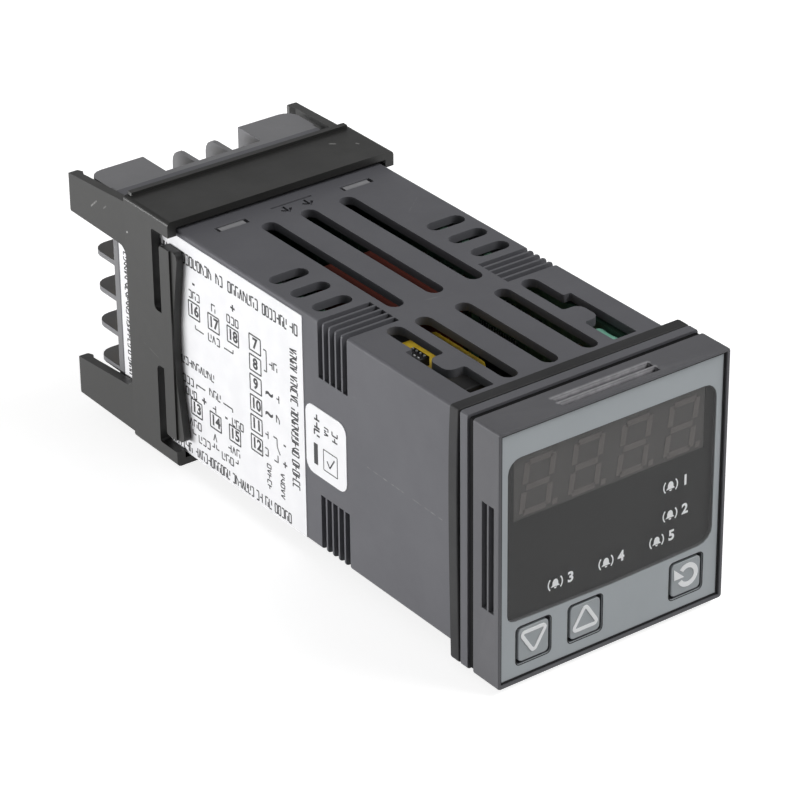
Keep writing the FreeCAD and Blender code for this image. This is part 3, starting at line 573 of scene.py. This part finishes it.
# Solder joints, edge pads and small chips on the boards: tin cones where leads come through, gold-plated pads
# where the terminal tails press, and tiny resistors and capacitors placed by machine.
tin = plated("tinned", (0.72, 0.72, 0.72), (0.58, 0.58, 0.58), 0.36, (1, 1, 1))
gold = plated("gold_plate", (0.90, 0.68, 0.30), (0.78, 0.56, 0.22), 0.3, (1, 0.3, 1))
face_out, face_in, relay_face = 18.6, 17.0, 9.8
relay_feet, relay_tall = (-4.0, 7.4), 10.0
cone_foot, cone_tip, cone_t, cone_lift = 0.72, 0.26, 0.7, 0.33


def block(bm, low, high, amount=0.0, segments=2):
    """Block between two corners, with its edges eased."""
    low, high = Vector(low), Vector(high)
    size = Matrix.Diagonal((*(high - low), 1))
    verts = bmesh.ops.create_cube(bm, size=1, matrix=Matrix.Translation((low + high) / 2) @ size)["verts"]
    if amount:
        ease(bm, amount, list({edge for vert in verts for edge in vert.link_edges}), segments)


def joint(bm, x, y, z, side):
    """Solder cone on a face of a board that looks to the given side."""
    stand = Matrix.Translation((x + side * cone_lift, y, z)) @ Matrix.Rotation(side * math.pi / 2, 4, "Y")
    bmesh.ops.create_cone(
        bm, cap_ends=True, segments=10, radius1=cone_foot, radius2=cone_tip, depth=cone_t, matrix=stand
    )


bm = bmesh.new()
for side in (-1, 1):
    for y in (-3.7, -0.7):
        for i in range(-7, 8):
            joint(bm, side * face_out, y, 2 * i, side)
winding_leads = [(y, z) for y in (13.8, 33.6) for z in (0.5, 4.2, 7.9, 11.6, 15.3)]
capacitor_pairs = [(4.6, 7.3), (10.0, 7.3)]
can_pairs = [(y, -10.5) for y in (40.0, 44.0, 51.5, 55.5, 63.0, 67.0)]
for y, z in winding_leads + capacitor_pairs + can_pairs:
    joint(bm, -face_out, y, z, -1)
for foot in relay_feet:
    for y, z in ((39.0, -3.2), (39.0, 3.2), (49.5, 3.2), (60.5, -3.2), (60.5, 3.2)):
        joint(bm, relay_face, y, foot + relay_tall / 2 + z, 1)
for i in range(8):
    for z in (-1.5, 1.5):
        joint(bm, face_out, 66.4 + 2.2 * i, z, 1)
finish_piece(bm, "solder_joints", tin, "instrument")

pad_front, pad_rear, pad_half, pad_sink, pad_t = 88.6, 95.3, 1.5, 0.02, 0.04
bm = bmesh.new()
for side in (-1, 1):
    for i in range(6):
        z = (i - 2.5) * bay_pitch
        x0, x1 = sorted((side * (face_out - pad_sink), side * (face_out + pad_t)))
        block(bm, (x0, pad_front, z - pad_half), (x1, pad_rear, z + pad_half))
finish_piece(bm, "edge_pads", gold, "instrument")

black_resin = moulded(
    "black_resin", (0.022, 0.022, 0.023), (0.015, 0.015, 0.016), 0.48, pitch=4200.0, depth=0.02
)
tan_ceramic = moulded("tan_ceramic", (0.34, 0.24, 0.13), (0.28, 0.19, 0.1), 0.5, pitch=3600.0, depth=0.01)
chip_half, chip_wide, chip_edge, chips_end = 0.55, 0.6, 0.06, 86
end_from, end_to, end_wide, end_skin = 0.5, 0.95, 0.62, 0.03
chip_tall = {"resistors": 0.5, "ceramics": 0.85}
bare_share, resistor_share = 0.3, 0.6
tray = random.Random(11)
chips = {"resistors": bmesh.new(), "ceramics": bmesh.new(), "ends": bmesh.new()}
for x, side, y, rows, clear in (
    (face_in, -1, 3.5, (-17, -13.5, -9.5, 10, 13.5, 16.5), (
        (-6, 3, -16, 16), (31, 49, -9, 9), (3.5, 13.5, 14, 21),
    )),
    (-face_in, 1, 3.5, (-18.3, -2.2, 19.2), (
        (-6, 3, -16, 16), (11, 37, -3, 21), (36, 71, -17, -4), (2.5, 12, 0, 14.5),
    )),
    (relay_face, 1, 38.5, (-16, -12.5, -9, 6.5, 16.8), ((36, 64, 6, 18), (36, 64, -6, 7))),
):
    while y < chips_end:
        y += tray.uniform(2.6, 4.4)
        for z in rows:
            taken_up = any(y0 < y < y1 and z0 < z < z1 for y0, y1, z0, z1 in clear)
            if tray.random() < bare_share or taken_up:
                continue
            kind = "resistors" if tray.random() < resistor_share else "ceramics"
            tall = chip_tall[kind]
            x0, x1 = sorted((x, x + side * tall))
            low, high = (x0, y - chip_half, z - chip_wide), (x1, y + chip_half, z + chip_wide)
            block(chips[kind], low, high, chip_edge, 1)
            x0, x1 = sorted((x, x + side * (tall + end_skin)))
            for end in (-1, 1):
                y0, y1 = sorted((y + end * end_from, y + end * end_to))
                block(chips["ends"], (x0, y0, z - end_wide), (x1, y1, z + end_wide), chip_edge, 1)
finish_piece(chips["resistors"], "chip_resistors", black_resin, "instrument")
finish_piece(chips["ceramics"], "chip_capacitors", tan_ceramic, "instrument")
finish_piece(chips["ends"], "chip_ends", tin, "instrument")

# Processor: a flat square package of black moulding resin with gull-wing leads of tinned copper on its four
# sides, soldered flat to the board, and a round dimple that marks its first lead.
package_y, package_half, package_face, dimple_off = 40.0, 6.0, 15.6, 4.7
lead_count, lead_pitch, lead_half = 16, 0.7, 0.14
near, far = package_half + 0.05, package_half + 1.3
gull_wing = (
    (near - 0.1, near + 0.55, 16.1, 16.3),
    (near + 0.4, near + 0.6, 16.2, 16.9),
    (near + 0.45, far, 16.8, 16.98),
)
bm = solid_copy("processor_chip")
ease(bm, 0.18)
dimple = Matrix.Translation((package_face - 0.01, package_y - dimple_off, dimple_off))
bmesh.ops.create_cone(
    bm, cap_ends=True, segments=20, radius1=0.6, radius2=0.5, depth=0.04,
    matrix=dimple @ Matrix.Rotation(math.pi / 2, 4, "Y"),
)
finish_piece(bm, "processor", black_resin, "instrument", ["processor_chip"])
bm = bmesh.new()
for i in range(lead_count):
    across = (i - (lead_count - 1) / 2) * lead_pitch
    left, right = across - lead_half, across + lead_half
    for side in (-1, 1):
        for start, end, x0, x1 in gull_wing:
            a, b = sorted((side * start, side * end))
            block(bm, (x0, package_y + a, left), (x1, package_y + b, right))
            block(bm, (x0, package_y + left, a), (x1, package_y + right, b))
finish_piece(bm, "processor_leads", tin, "instrument")

# Board headers: moulded black nylon strips with square tinned pins pressed in. Two join the display board to
# the side boards, a wide one joins the relay board, and a short test header tops the power board.
header_nylon = moulded(
    "header_nylon", (0.02, 0.02, 0.021), (0.014, 0.014, 0.015), 0.5, pitch=3800.0, depth=0.012
)
dress("board_headers", "headers", header_nylon, "instrument", edge=0.15)
pin_half, test_pin_half, test_front, test_pitch = 0.25, 0.2, 20.55, 1.07
bm = bmesh.new()
for side in (-1, 1):
    for i in range(-7, 8):
        for x in (15.1, 16.3):
            x0, x1 = sorted((side * (x - pin_half), side * (x + pin_half)))
            block(bm, (x0, 0.6, 2 * i - pin_half), (x1, 2.4, 2 * i + pin_half), 0.08, 1)
for i in range(4):
    y0, y1 = (test_front + test_pitch * i + turn * test_pin_half for turn in (-1, 1))
    for x in (-16.1, -14.8, -13.5):
        block(bm, (x - test_pin_half, y0, 20.0), (x + test_pin_half, y1, 20.6), 0.07, 1)
finish_piece(bm, "header_pins", tin, "instrument")

# Transformer: a dark ferrite core, sintered and clamped round a bobbin. The winding is wrapped in bright
# yellow polyester tape, whose turns show as ridges.
ferrite = moulded("ferrite", (0.05, 0.05, 0.052), (0.036, 0.036, 0.038), 0.55, pitch=2400.0, depth=0.03)
dress("transformer_core", "ferrite_core", ferrite, "instrument", edge=0.25)
tape, tree, surface, place = blank("winding_tape")
wound = {"Scale": 150.0, "Distortion": 0.6, "Detail": 1.0, "Detail Scale": 30.0}
ridges = shade(tree, "TexWave", {"Vector": place, **wound}, bands_direction="Y").outputs["Fac"]
yellow = blend_colours(tree, ridges, (0.74, 0.50, 0.04), (0.84, 0.59, 0.055))
feed(tree, surface, yellow, spread(tree, ridges, 0.0, 1.0, 0.42, 0.28), ridges, 0.35, 0.06)
bm = solid_copy("transformer_winding")
ease(bm, 0.2)
block(bm, (-14.5, 17.6, 17.95), (-6.5, 29.8, 18.06), 0.04, 1)
finish_piece(bm, "taped_winding", tape, "instrument", ["transformer_winding"])

# Suppression capacitor: a film capacitor across the mains input, potted in a moulded yellow box and
# soldered to the power board.
yellow_case = moulded("yellow_case", (0.81, 0.55, 0.04), (0.73, 0.49, 0.035), 0.42, pitch=3000.0, depth=0.015)
dress(
    "suppression_capacitor", "film_capacitor", yellow_case, "instrument", edge=0.5, segments=3
)

# Smoothing capacitors: aluminium cans in shrunk dark blue sleeves, rolled in near the base, with a pale
# stripe down the side and a vent cross pressed into the bare top.
can_r, can_base, can_top, can_z, cross_turn = 5.0, -17.0, -3.0, -10.5, 0.3
can_sleeve, tree, surface, place = blank("can_sleeve")
skin = shade(tree, "Group", {"Place": place, "Pitch": 2600.0}, node_tree=grain).outputs
height = shade(tree, "SeparateXYZ", {0: place}).outputs[2]
stripe = spread(tree, height, -14.6 * mm, -14.4 * mm, 1.0, 0.0)
shrunk = blend_colours(tree, skin["Cloud"], (0.012, 0.018, 0.05), (0.02, 0.028, 0.07))
striped = blend_colours(tree, stripe, shrunk, (0.42, 0.44, 0.48))
feed(tree, surface, striped, mottled(tree, skin["Cloud"], 0.3, 0.42))
tall, sleeve_r = can_top - can_base, can_r - 0.03
bm = bmesh.new()
turned(bm, [
    (0, 0.15), (4.2, 0.15), (4.75, 0.5), (4.95, 1.3), (4.6, 2.0), (4.6, 2.4), (4.95, 3.1), (sleeve_r, 4.0),
    (sleeve_r, tall - 0.8), (4.75, tall - 0.25), (4.2, tall - 0.05), (3.9, tall - 0.12), (0, tall - 0.12),
], 40)
shrunk_sleeve = as_mesh(bm)
bm = bmesh.new()
rim = [(3.85, tall - 0.3), (3.85, tall - 0.1), (3.6, tall - 0.05)]
turned(bm, [(0, tall - 0.3), *rim, (0, tall - 0.05)], 40)
groove = Matrix.Diagonal((5.6, 0.06, 0.28, 1))
for angle in (cross_turn, cross_turn + math.pi / 2):
    stand = Matrix.Translation((0, tall - 0.03, 0)) @ Matrix.Rotation(angle, 4, "Y")
    bmesh.ops.create_cube(bm, size=1, matrix=stand @ groove)
bare_top = as_mesh(bm)
for mesh, name, material, slot, stands_for in (
    (shrunk_sleeve, "can_sleeves", can_sleeve, "can_sleeve", ["smoothing_capacitors"]),
    (bare_top, "can_tops", steel, "plated_steel", []),
):
    bm = bmesh.new()
    for y in (42.0, 53.5, 65.0):
        put(bm, mesh, Matrix.Translation((can_base, y, can_z)) @ Matrix.Rotation(-math.pi / 2, 4, "Z"))
    bpy.data.meshes.remove(mesh)
    bmesh.ops.recalc_face_normals(bm, faces=bm.faces)
    finish_piece(bm, name, material, "instrument", stands_for)

# Green capacitor: a small ceramic body dipped in mint-green resin, lying along the processor board's top edge
# on two tinned wire leads that are bent and soldered to the board.
mint_coat = moulded("mint_coat", (0.22, 0.50, 0.38), (0.18, 0.44, 0.33), 0.35, pitch=900.0, depth=0.03)
lead_x, lead_z, wire_half = 15.24, 18.69, 0.25
low, high = lead_z - wire_half, lead_z + wire_half
bm = bmesh.new()
turned(bm, [
    (0, 5.55), (0.9, 5.6), (1.5, 5.95), (1.69, 6.6), (1.55, 8.5), (1.69, 10.4), (1.5, 11.05), (0.9, 11.4),
    (0, 11.45),
], 28)
bmesh.ops.translate(bm, vec=(lead_x, 0, lead_z), verts=bm.verts)
finish_piece(bm, "dipped_capacitor", mint_coat, "instrument", ["ceramic_capacitor"])
bm = bmesh.new()
for y0, y1 in ((4.5, 5.7), (11.3, 12.5)):
    block(bm, (lead_x - wire_half, y0, low), (lead_x + wire_half, y1, high), 0.1)
for y in (4.5, 12.0):
    block(bm, (lead_x, y, low), (face_in + 0.1, y + 2 * wire_half, high), 0.1)
finish_piece(bm, "capacitor_leads", tin, "instrument")

# Output relays: sealed relays in red-brown moulded covers on black bases, soldered to the relay board.
# Each cover has a shallow raised panel on the face away from the board.
relay_red = moulded(
    "relay_cover", (0.118, 0.025, 0.016), (0.094, 0.020, 0.013), 0.45, pitch=3600.0, depth=0.012, sheen=0.1
)
base_grow = 0.08
bm = solid_copy("output_relays")
ease(bm, 0.5, segments=3)
for foot in relay_feet:
    block(bm, (-6.06, 41.0, foot + 2.4), (-5.9, 58.5, foot + relay_tall - 2.4), 0.05, 1)
finish_piece(bm, "relay_covers", relay_red, "instrument", ["output_relays"])
bm = bmesh.new()
for foot in relay_feet:
    block(bm, (7.0, 36.9, foot - base_grow), (8.2, 62.6, foot + relay_tall + base_grow), 0.12)
finish_piece(bm, "relay_bases", black_resin, "instrument")

# Display parts on the front board: the digit block with its diffused resin segments, moulded lamps for the
# alarm marks, and tactile switches in tinned steel covers behind the keys, all soldered in place.
module_face = moulded(
    "display_body", (0.118, 0.110, 0.104), (0.112, 0.104, 0.098), 0.6, pitch=400.0, depth=0.001
)
dress("display_module", "digit_block", module_face, "instrument", edge=0.2)
segment_resin = moulded(
    "segment_resin", (0.192, 0.176, 0.168), (0.18, 0.164, 0.156), 0.5, pitch=400.0, depth=0.001
)
digit_pitch, digit_z, digit_lean = 10.05, 11.9, math.tan(math.radians(8))
digit_wide, digit_tall, digit_drop, digit_shift = 1.16, 1.05, 0.35, 0.03
point_from, point_shift = 3.0, 0.35
bm = solid_copy("digit_segments")
for vert in bm.verts:
    centre = (math.floor(vert.co.x / digit_pitch - digit_shift) + 0.5) * digit_pitch
    rise = vert.co.z - digit_z
    across = vert.co.x - centre - rise * digit_lean
    across = across + point_shift if across > point_from else across * digit_wide
    vert.co.x = centre + across + rise * digit_lean
    vert.co.z = digit_z - digit_drop + rise * digit_tall
finish_piece(bm, "digits", segment_resin, "instrument", ["digit_segments"])
lamp_resin = moulded("lamp_resin", (0.16, 0.15, 0.15), (0.12, 0.11, 0.11), 0.4, pitch=2200.0, depth=0.01)
dress("alarm_lamps", "lamps", lamp_resin, "instrument", edge=0.25)
dress("key_switches", "switches", tin, "instrument", edge=0.12)

# Bezel: the front moulding that carries the display board, in the sleeve's charcoal plastic. Grooves in its
# four sides are finger grips for pulling the instrument out, and the top ones have a painted highlight on
# their steps, where the lamp's reflection falls.
grip_half, grip_top, highlight_width = 10.0, 23.6, 0.7
# The pale streaks on the top grip steps are a painted highlight, standing in for the lamp's reflection.
grip_highlights = [((-grip_half, y, grip_top), (grip_half, y, grip_top), highlight_width, 1.0) for y in (-10.4, -8.62)]
bezel_plastic = moulded(
    "bezel_plastic", (0.108, 0.108, 0.116), (0.097, 0.097, 0.105), 0.5,
    marks=grip_highlights, mark_colour=(0.54, 0.53, 0.55), least=0.75,
)
dress("bezel", "front_bezel", bezel_plastic, "instrument", edge=0.13)

# Bezel seal: ring of black rubber in the joint behind the bezel, moulded with a matt skin and pressed flat
# between bezel and flange, so that its outer edge swells a little.
seal_rubber = moulded(
    "seal_rubber", (0.009, 0.009, 0.0095), (0.007, 0.007, 0.0075), 0.8, pitch=2600.0, depth=0.03, sheen=0.1
)
seal_reach, seal_rim = 0.55, 22.9
bm = solid_copy("bezel_seal")
for vert in bm.verts:
    for axis in (0, 2):
        if abs(vert.co[axis]) > seal_rim:
            vert.co[axis] += math.copysign(seal_reach, vert.co[axis])
ease(bm, 0.35, segments=3)
finish_piece(bm, "seal", seal_rubber, "instrument", ["bezel_seal"])

# Front film: silver-grey polycarbonate film with a fine sand finish, printed behind, die cut and bonded into
# the bezel's recess.
film_grey = moulded(
    "film_grey", (0.412, 0.442, 0.460), (0.389, 0.418, 0.437), 0.42, pitch=6500.0, depth=0.012
)
coat("front_overlay", film_grey)

# Film edge and key frames: a black ring round the film's edge is painted shade, where the bezel's lip shades
# the film, and a dark printed line frames each key.
# This near-black serves both as the painted shade at the film's edge and as the ink of the printed key
# frames.
shade_and_print_black = moulded(
    "shade_and_print_black", (0.016, 0.016, 0.017), (0.012, 0.012, 0.013), 0.55, pitch=2600.0, depth=0.01, sheen=0.15
)
shade_ring_in, shade_ring_out, shade_ring_front, shade_ring_back = 23.02, 23.42, -12.66, -12.46
key_places, key_z = {"down": -16.3, "up": -5.433, "scroll": 16.3}, -17.35
frame_core, frame_in, frame_out, frame_front, frame_back = 2.8, 0.8, 0.98, -12.515, -12.49
square = [Vector(corner) for corner in ((-1, -1), (1, -1), (1, 1), (-1, 1))]


def round_outline(core, radius, steps=6):
    """Points at a distance round a core of corners, which it turns about in arcs."""
    points = []
    for before, corner, after in zip(core[-1:] + core, core, core[1:] + core[:1]):
        sides = ((before, corner), (corner, after))
        start, end = (math.atan2(b.x - a.x, a.y - b.y) + math.pi for a, b in sides)
        sweep = (end - start) % math.tau
        angles = [start + sweep * i / steps for i in range(steps + 1)]
        points += [corner + Vector((math.cos(angle), math.sin(angle))) * radius for angle in angles]
    return points


def ring_plate(bm, inner, outer, middle, front, back):
    """Flat ring in the front's plane, between two outlines with the same number of points."""
    x, z = middle
    inner, outer = ([bm.verts.new((x + u, back, z + v)) for u, v in outline] for outline in (inner, outer))
    band = [bm.faces.new((outer[i - 1], outer[i], inner[i], inner[i - 1])) for i in range(len(inner))]
    grown = bmesh.ops.extrude_face_region(bm, geom=band)["geom"]
    raised = [v for v in grown if isinstance(v, bmesh.types.BMVert)]
    bmesh.ops.translate(bm, vec=(0, front - back, 0), verts=raised)
    bmesh.ops.recalc_face_normals(bm, faces=bm.faces)


# Black ring round the film: painted shade where the bezel's lip shades the film's edge.
bm = bmesh.new()
ring_plate(bm, [c * shade_ring_in for c in square], [c * shade_ring_out for c in square], (0, 0), shade_ring_front, shade_ring_back)
ease(bm, 0.06)
finish_piece(bm, "film_edge_shade", shade_and_print_black, "instrument")
bm = bmesh.new()
for x in key_places.values():
    outlines = [round_outline([c * frame_core for c in square], radius) for radius in (frame_in, frame_out)]
    ring_plate(bm, *outlines, (x, key_z), frame_front, frame_back)
finish_piece(bm, "key_frames", shade_and_print_black, "instrument")

# Display window: smoke-tinted acrylic, cut to shape and bonded into the opening of film and bezel. It is
# semi-matt against glare, so the unlit digits only just show.
window_tint, tree, surface, place = blank("window_tint")
skin = shade(tree, "Group", {"Place": place, "Pitch": 7000.0}, node_tree=grain).outputs
smoke = blend_colours(tree, mottled(tree, skin["Cloud"]), (0.214, 0.214, 0.214), (0.226, 0.226, 0.226))
feed(tree, surface, smoke, mottled(tree, skin["Cloud"], 0.3, 0.38))
surface.inputs["Alpha"].default_value = 0.25
surface.inputs["Specular IOR Level"].default_value = 0.3
coat("display_window", window_tint)

# Window print: matt black screen ink on the window's back, open only in front of the digits. It hides the
# boards behind the window.
mask_ink = moulded(
    "mask_ink", (0.038, 0.038, 0.038), (0.033, 0.033, 0.033), 0.7, pitch=2600.0, depth=0.002, sheen=0.1
)
mask_front, mask_t, window_front, window_t = -11.74, 0.05, -12.5, 0.8
open_half, open_low, open_high = 20.0, 6.0, 17.8
bm = solid_copy("display_window")
for vert in bm.verts:
    vert.co.y = mask_front + (vert.co.y - window_front) * mask_t / window_t
tool = bmesh.new()
block(tool, (-open_half, mask_front - 1, open_low), (open_half, mask_front + 1, open_high))
finish_piece(cut_away(bm, tool), "window_print", mask_ink, "instrument")

# Alarm marks: five small ringing bells with numbers, screen printed in white ink on the front of the window.
# Two stand at the right and three along the bottom.
white_ink = moulded("white_ink", (0.91, 0.92, 0.93), (0.85, 0.86, 0.87), 0.45, pitch=3000.0, depth=0.004)
print_front, print_back = window_front - ink_t, window_front + ink_sink
facing_front = Matrix(((1, 0, 0), (0, 0, -1), (0, 1, 0))).to_4x4()
half_bell = [(0.95, 0), (0.62, 0.35), (0.58, 0.9), (0.36, 1.3)]
bell = half_bell + [(0, 1.45)] + [(-u, v) for u, v in reversed(half_bell)]
bell_left, bell_foot, number_right, number_tall = 1.1, 0.55, 2.1, 1.85
clapper_r, clapper_drop, ring_in, ring_out, ring_sweep = 0.28, 0.12, 1.35, 1.6, 1.5


def ring_band(bm, centre, inner, outer, start, sweep, front, back, steps):
    """Part of a flat ring in the front's plane, from an angle through a sweep."""
    x, z = centre
    corners = [(inner, front), (outer, front), (outer, back), (inner, back)]
    verts = [bm.verts.new((x + r * math.cos(start), y, z + r * math.sin(start))) for r, y in corners]
    bmesh.ops.spin(
        bm, geom=[bm.faces.new(verts)], cent=(x, 0, z), axis=(0, -1, 0), dvec=(0, 0, 0),
        angle=sweep, steps=steps,
    )


bm = bmesh.new()
for number, x, z in (
    (1, 13.45, 1.65), (2, 13.5, -3.9), (5, 10.75, -8.05), (4, -0.1, -8.1), (3, -10.75, -8.1),
):
    bell_x, foot_z = x - bell_left, z - bell_foot
    lift = (0, print_front - print_back, 0)
    plate(bm, [(bell_x + u, print_back, foot_z + v) for u, v in bell], lift)
    clapper = (bell_x, foot_z - clapper_drop)
    ring_band(bm, clapper, 0.02, clapper_r, math.pi, math.pi, print_front, print_back, 6)
    for start in (-ring_sweep / 2, math.pi - ring_sweep / 2):
        ring_band(bm, (bell_x, z), ring_in, ring_out, start, ring_sweep, print_front, print_back, 6)
    spot = Matrix.Translation((x + number_right, window_front - ink_t / 2, z))
    numerals(bm, str(number), number_tall, spot @ facing_front)
bmesh.ops.recalc_face_normals(bm, faces=bm.faces)
finish_piece(bm, "alarm_marks", white_ink, "instrument")

# Keys: three square caps moulded in the film's grey, held in the front and pressing on the switches. Each has
# its sign proud in white: down, up and return.
key_grey = moulded("key_grey", (0.366, 0.392, 0.408), (0.345, 0.370, 0.386), 0.42, pitch=6500.0, depth=0.012)
sign_front, sign_back = -12.6, -12.45
triangle, sign_in, sign_out = [Vector((-1.86, -1.15)), Vector((1.86, -1.15)), Vector((0, 1.79))], 0.16, 0.82
down_shift = 0.64
turn_centre, turn_in, turn_out = (0.36, 0.25), 1.36, 2.26
turn_start, turn_end = math.radians(-153), math.radians(140)
turn_head = [(-2.7, 2.25), (-2.58, 0.05), (-0.4, 0.1)]
for name, x in key_places.items():
    dress(name + "_key", name + "_cap", key_grey, name + "_key", edge=0.16)
    bm = bmesh.new()
    if name == "scroll":
        centre = (x + turn_centre[0], key_z + turn_centre[1])
        sweep = turn_end - turn_start
        ring_band(bm, centre, turn_in, turn_out, turn_start, sweep, sign_front, sign_back, 28)
        plate(bm, [(x + u, sign_back, key_z + v) for u, v in turn_head], (0, sign_front - sign_back, 0))
    else:
        outlines = [round_outline(triangle, radius) for radius in (sign_in, sign_out)]
        if name == "down":
            outlines = [[(u, down_shift - v) for u, v in outline] for outline in outlines]
        ring_plate(bm, *outlines, (x, key_z), sign_front, sign_back)
    bmesh.ops.remove_doubles(bm, verts=bm.verts, dist=weld_gap)
    bmesh.ops.recalc_face_normals(bm, faces=bm.faces)
    finish_piece(bm, name + "_sign", white_ink, name + "_key")

# Mounting clamp: black nylon collar, moulded in one piece, that slides over the case. Its spring fingers
# press on the back of the panel and its barbed arms catch the ratchet. It is scuffed from handling.
scuffs = [
    ((-24.9, 105.4, 18.6), (-24.8, 103.6, 20.2), 0.22, 0.6),
    ((-24.7, 101.4, 19.6), (-24.7, 100.6, 20.3), 0.2, 0.5),
    ((-24.6, 94.2, 17.6), (-24.6, 94.0, 17.7), 0.25, 0.9),
    ((17.0, 90.0, 24.6), (17.8, 89.4, 24.6), 0.3, 0.5),
    ((21.0, 87.2, 24.6), (21.2, 86.8, 24.6), 0.25, 0.5),
    ((-24.6, 90.0, -3.0), (-24.6, 84.0, -4.5), 0.1, 0.12),
]
clamp_plastic = moulded(
    "clamp_plastic", (0.0155, 0.0155, 0.0145), (0.0125, 0.0125, 0.0117), 0.4, sheen=0.42,
    marks=scuffs, mark_colour=(0.55, 0.55, 0.53),
)
dress("mounting_clamp", "clamp", clamp_plastic, "clamp", edge=0.16)

# Floor: a wide sheet of white paper that the meter lies on. It shows white to the camera and in reflections,
# and throws less light up at the meter than it seems to.
floor_z, floor_half, floor_lift = -25.2, 6, 0.82
bm = bmesh.new()
bmesh.ops.create_grid(bm, x_segments=1, y_segments=1, size=floor_half)
bmesh.ops.translate(bm, vec=(0, 0, floor_z * mm), verts=bm.verts)
floor = show("floor", as_mesh(bm, "floor"))
floor_paper, tree, surface, place = blank("sweep")
paper = shade(tree, "TexNoise", {"Vector": place, "Scale": 30.0, "Detail": 3.0}).outputs[0]
white = blend_colours(tree, paper, (0.52, 0.52, 0.52), (0.55, 0.55, 0.55))
tree.links.new(white, surface.inputs["Base Color"])
surface.inputs["Roughness"].default_value = 0.9
surface.inputs["Specular IOR Level"].default_value = 0.1
surface.inputs["Emission Color"].default_value = (1, 1, 1, 1)
path = shade(tree, "LightPath").outputs
mirrored = {0: path["Is Glossy Ray"], 1: path["Is Transmission Ray"]}
gloss = shade(tree, "Math", mirrored, operation="MAXIMUM").outputs[0]
seen = shade(tree, "Math", {0: path["Is Camera Ray"], 1: gloss}, operation="MAXIMUM").outputs[0]
lift = shade(tree, "Math", {0: seen, 1: floor_lift}, operation="MULTIPLY").outputs[0]
tree.links.new(lift, surface.inputs["Emission Strength"])
floor.data.materials.append(floor_paper)

# Studio: a room that is bright round its foot, dimmer above and dimmest behind the camera. A broad soft lamp
# hangs high in front to the right, and a low strip lamp stands to the left of the rear.
world = bpy.data.worlds.new("studio")
bpy.context.scene.world = world
world.use_nodes = True
tree = world.node_tree
sky = tree.nodes["Background"]
sky.inputs["Color"].default_value = (1, 1, 1, 1)
behind_camera = (-0.63, -0.77, 0)
way = shade(tree, "TexCoord").outputs["Generated"]
height = shade(tree, "SeparateXYZ", {0: way}).outputs[2]
towards = shade(tree, "VectorMath", {0: way, 1: behind_camera}, operation="DOT_PRODUCT").outputs["Value"]
walls = spread(tree, height, 0.11, 0.22, 1.0, spread(tree, towards, -0.2, 0.6, 0.52, 0.2))
ceiling = spread(tree, height, 0.45, 0.85, 1.0, 0.35)
room = shade(tree, "Math", {0: walls, 1: ceiling}, operation="MULTIPLY").outputs[0]
tree.links.new(room, sky.inputs["Strength"])


def lamp(name, place, target, width, height, power):
    """Soft lamp that faces a point."""
    light = bpy.data.lights.new(name, "AREA")
    light.shape, light.size, light.size_y, light.energy = "RECTANGLE", width, height, power
    holder = show(name, light)
    holder.location = place
    holder.rotation_euler = (Vector(target) - Vector(place)).to_track_quat("-Z", "Y").to_euler()


middle = (0, 0.045, 0)
lamp("front_lamp", (0.595, -0.455, 0.9), middle, 0.7, 0.7, 10.1)
lamp("left_lamp", (-0.82, 0.5, 0.02), middle, 0.7, 0.06, 8.0)

# Camera: on a stand to the left of the meter's front, looking down on it from about 60 cm away through
# a long lens.
camera = show("camera", bpy.data.cameras.new("camera"))
camera.data.sensor_width, camera.data.lens = 36.0, 164.98
camera.data.clip_start, camera.data.clip_end = 0.01, 20.0
camera.location = (-0.332015, -0.40717, 0.307981)
camera.rotation_euler = [math.radians(turn) for turn in (60.97575, 0.53568, -36.5293)]
bpy.context.scene.camera = camera
bpy.context.scene.view_settings.view_transform = "Standard"
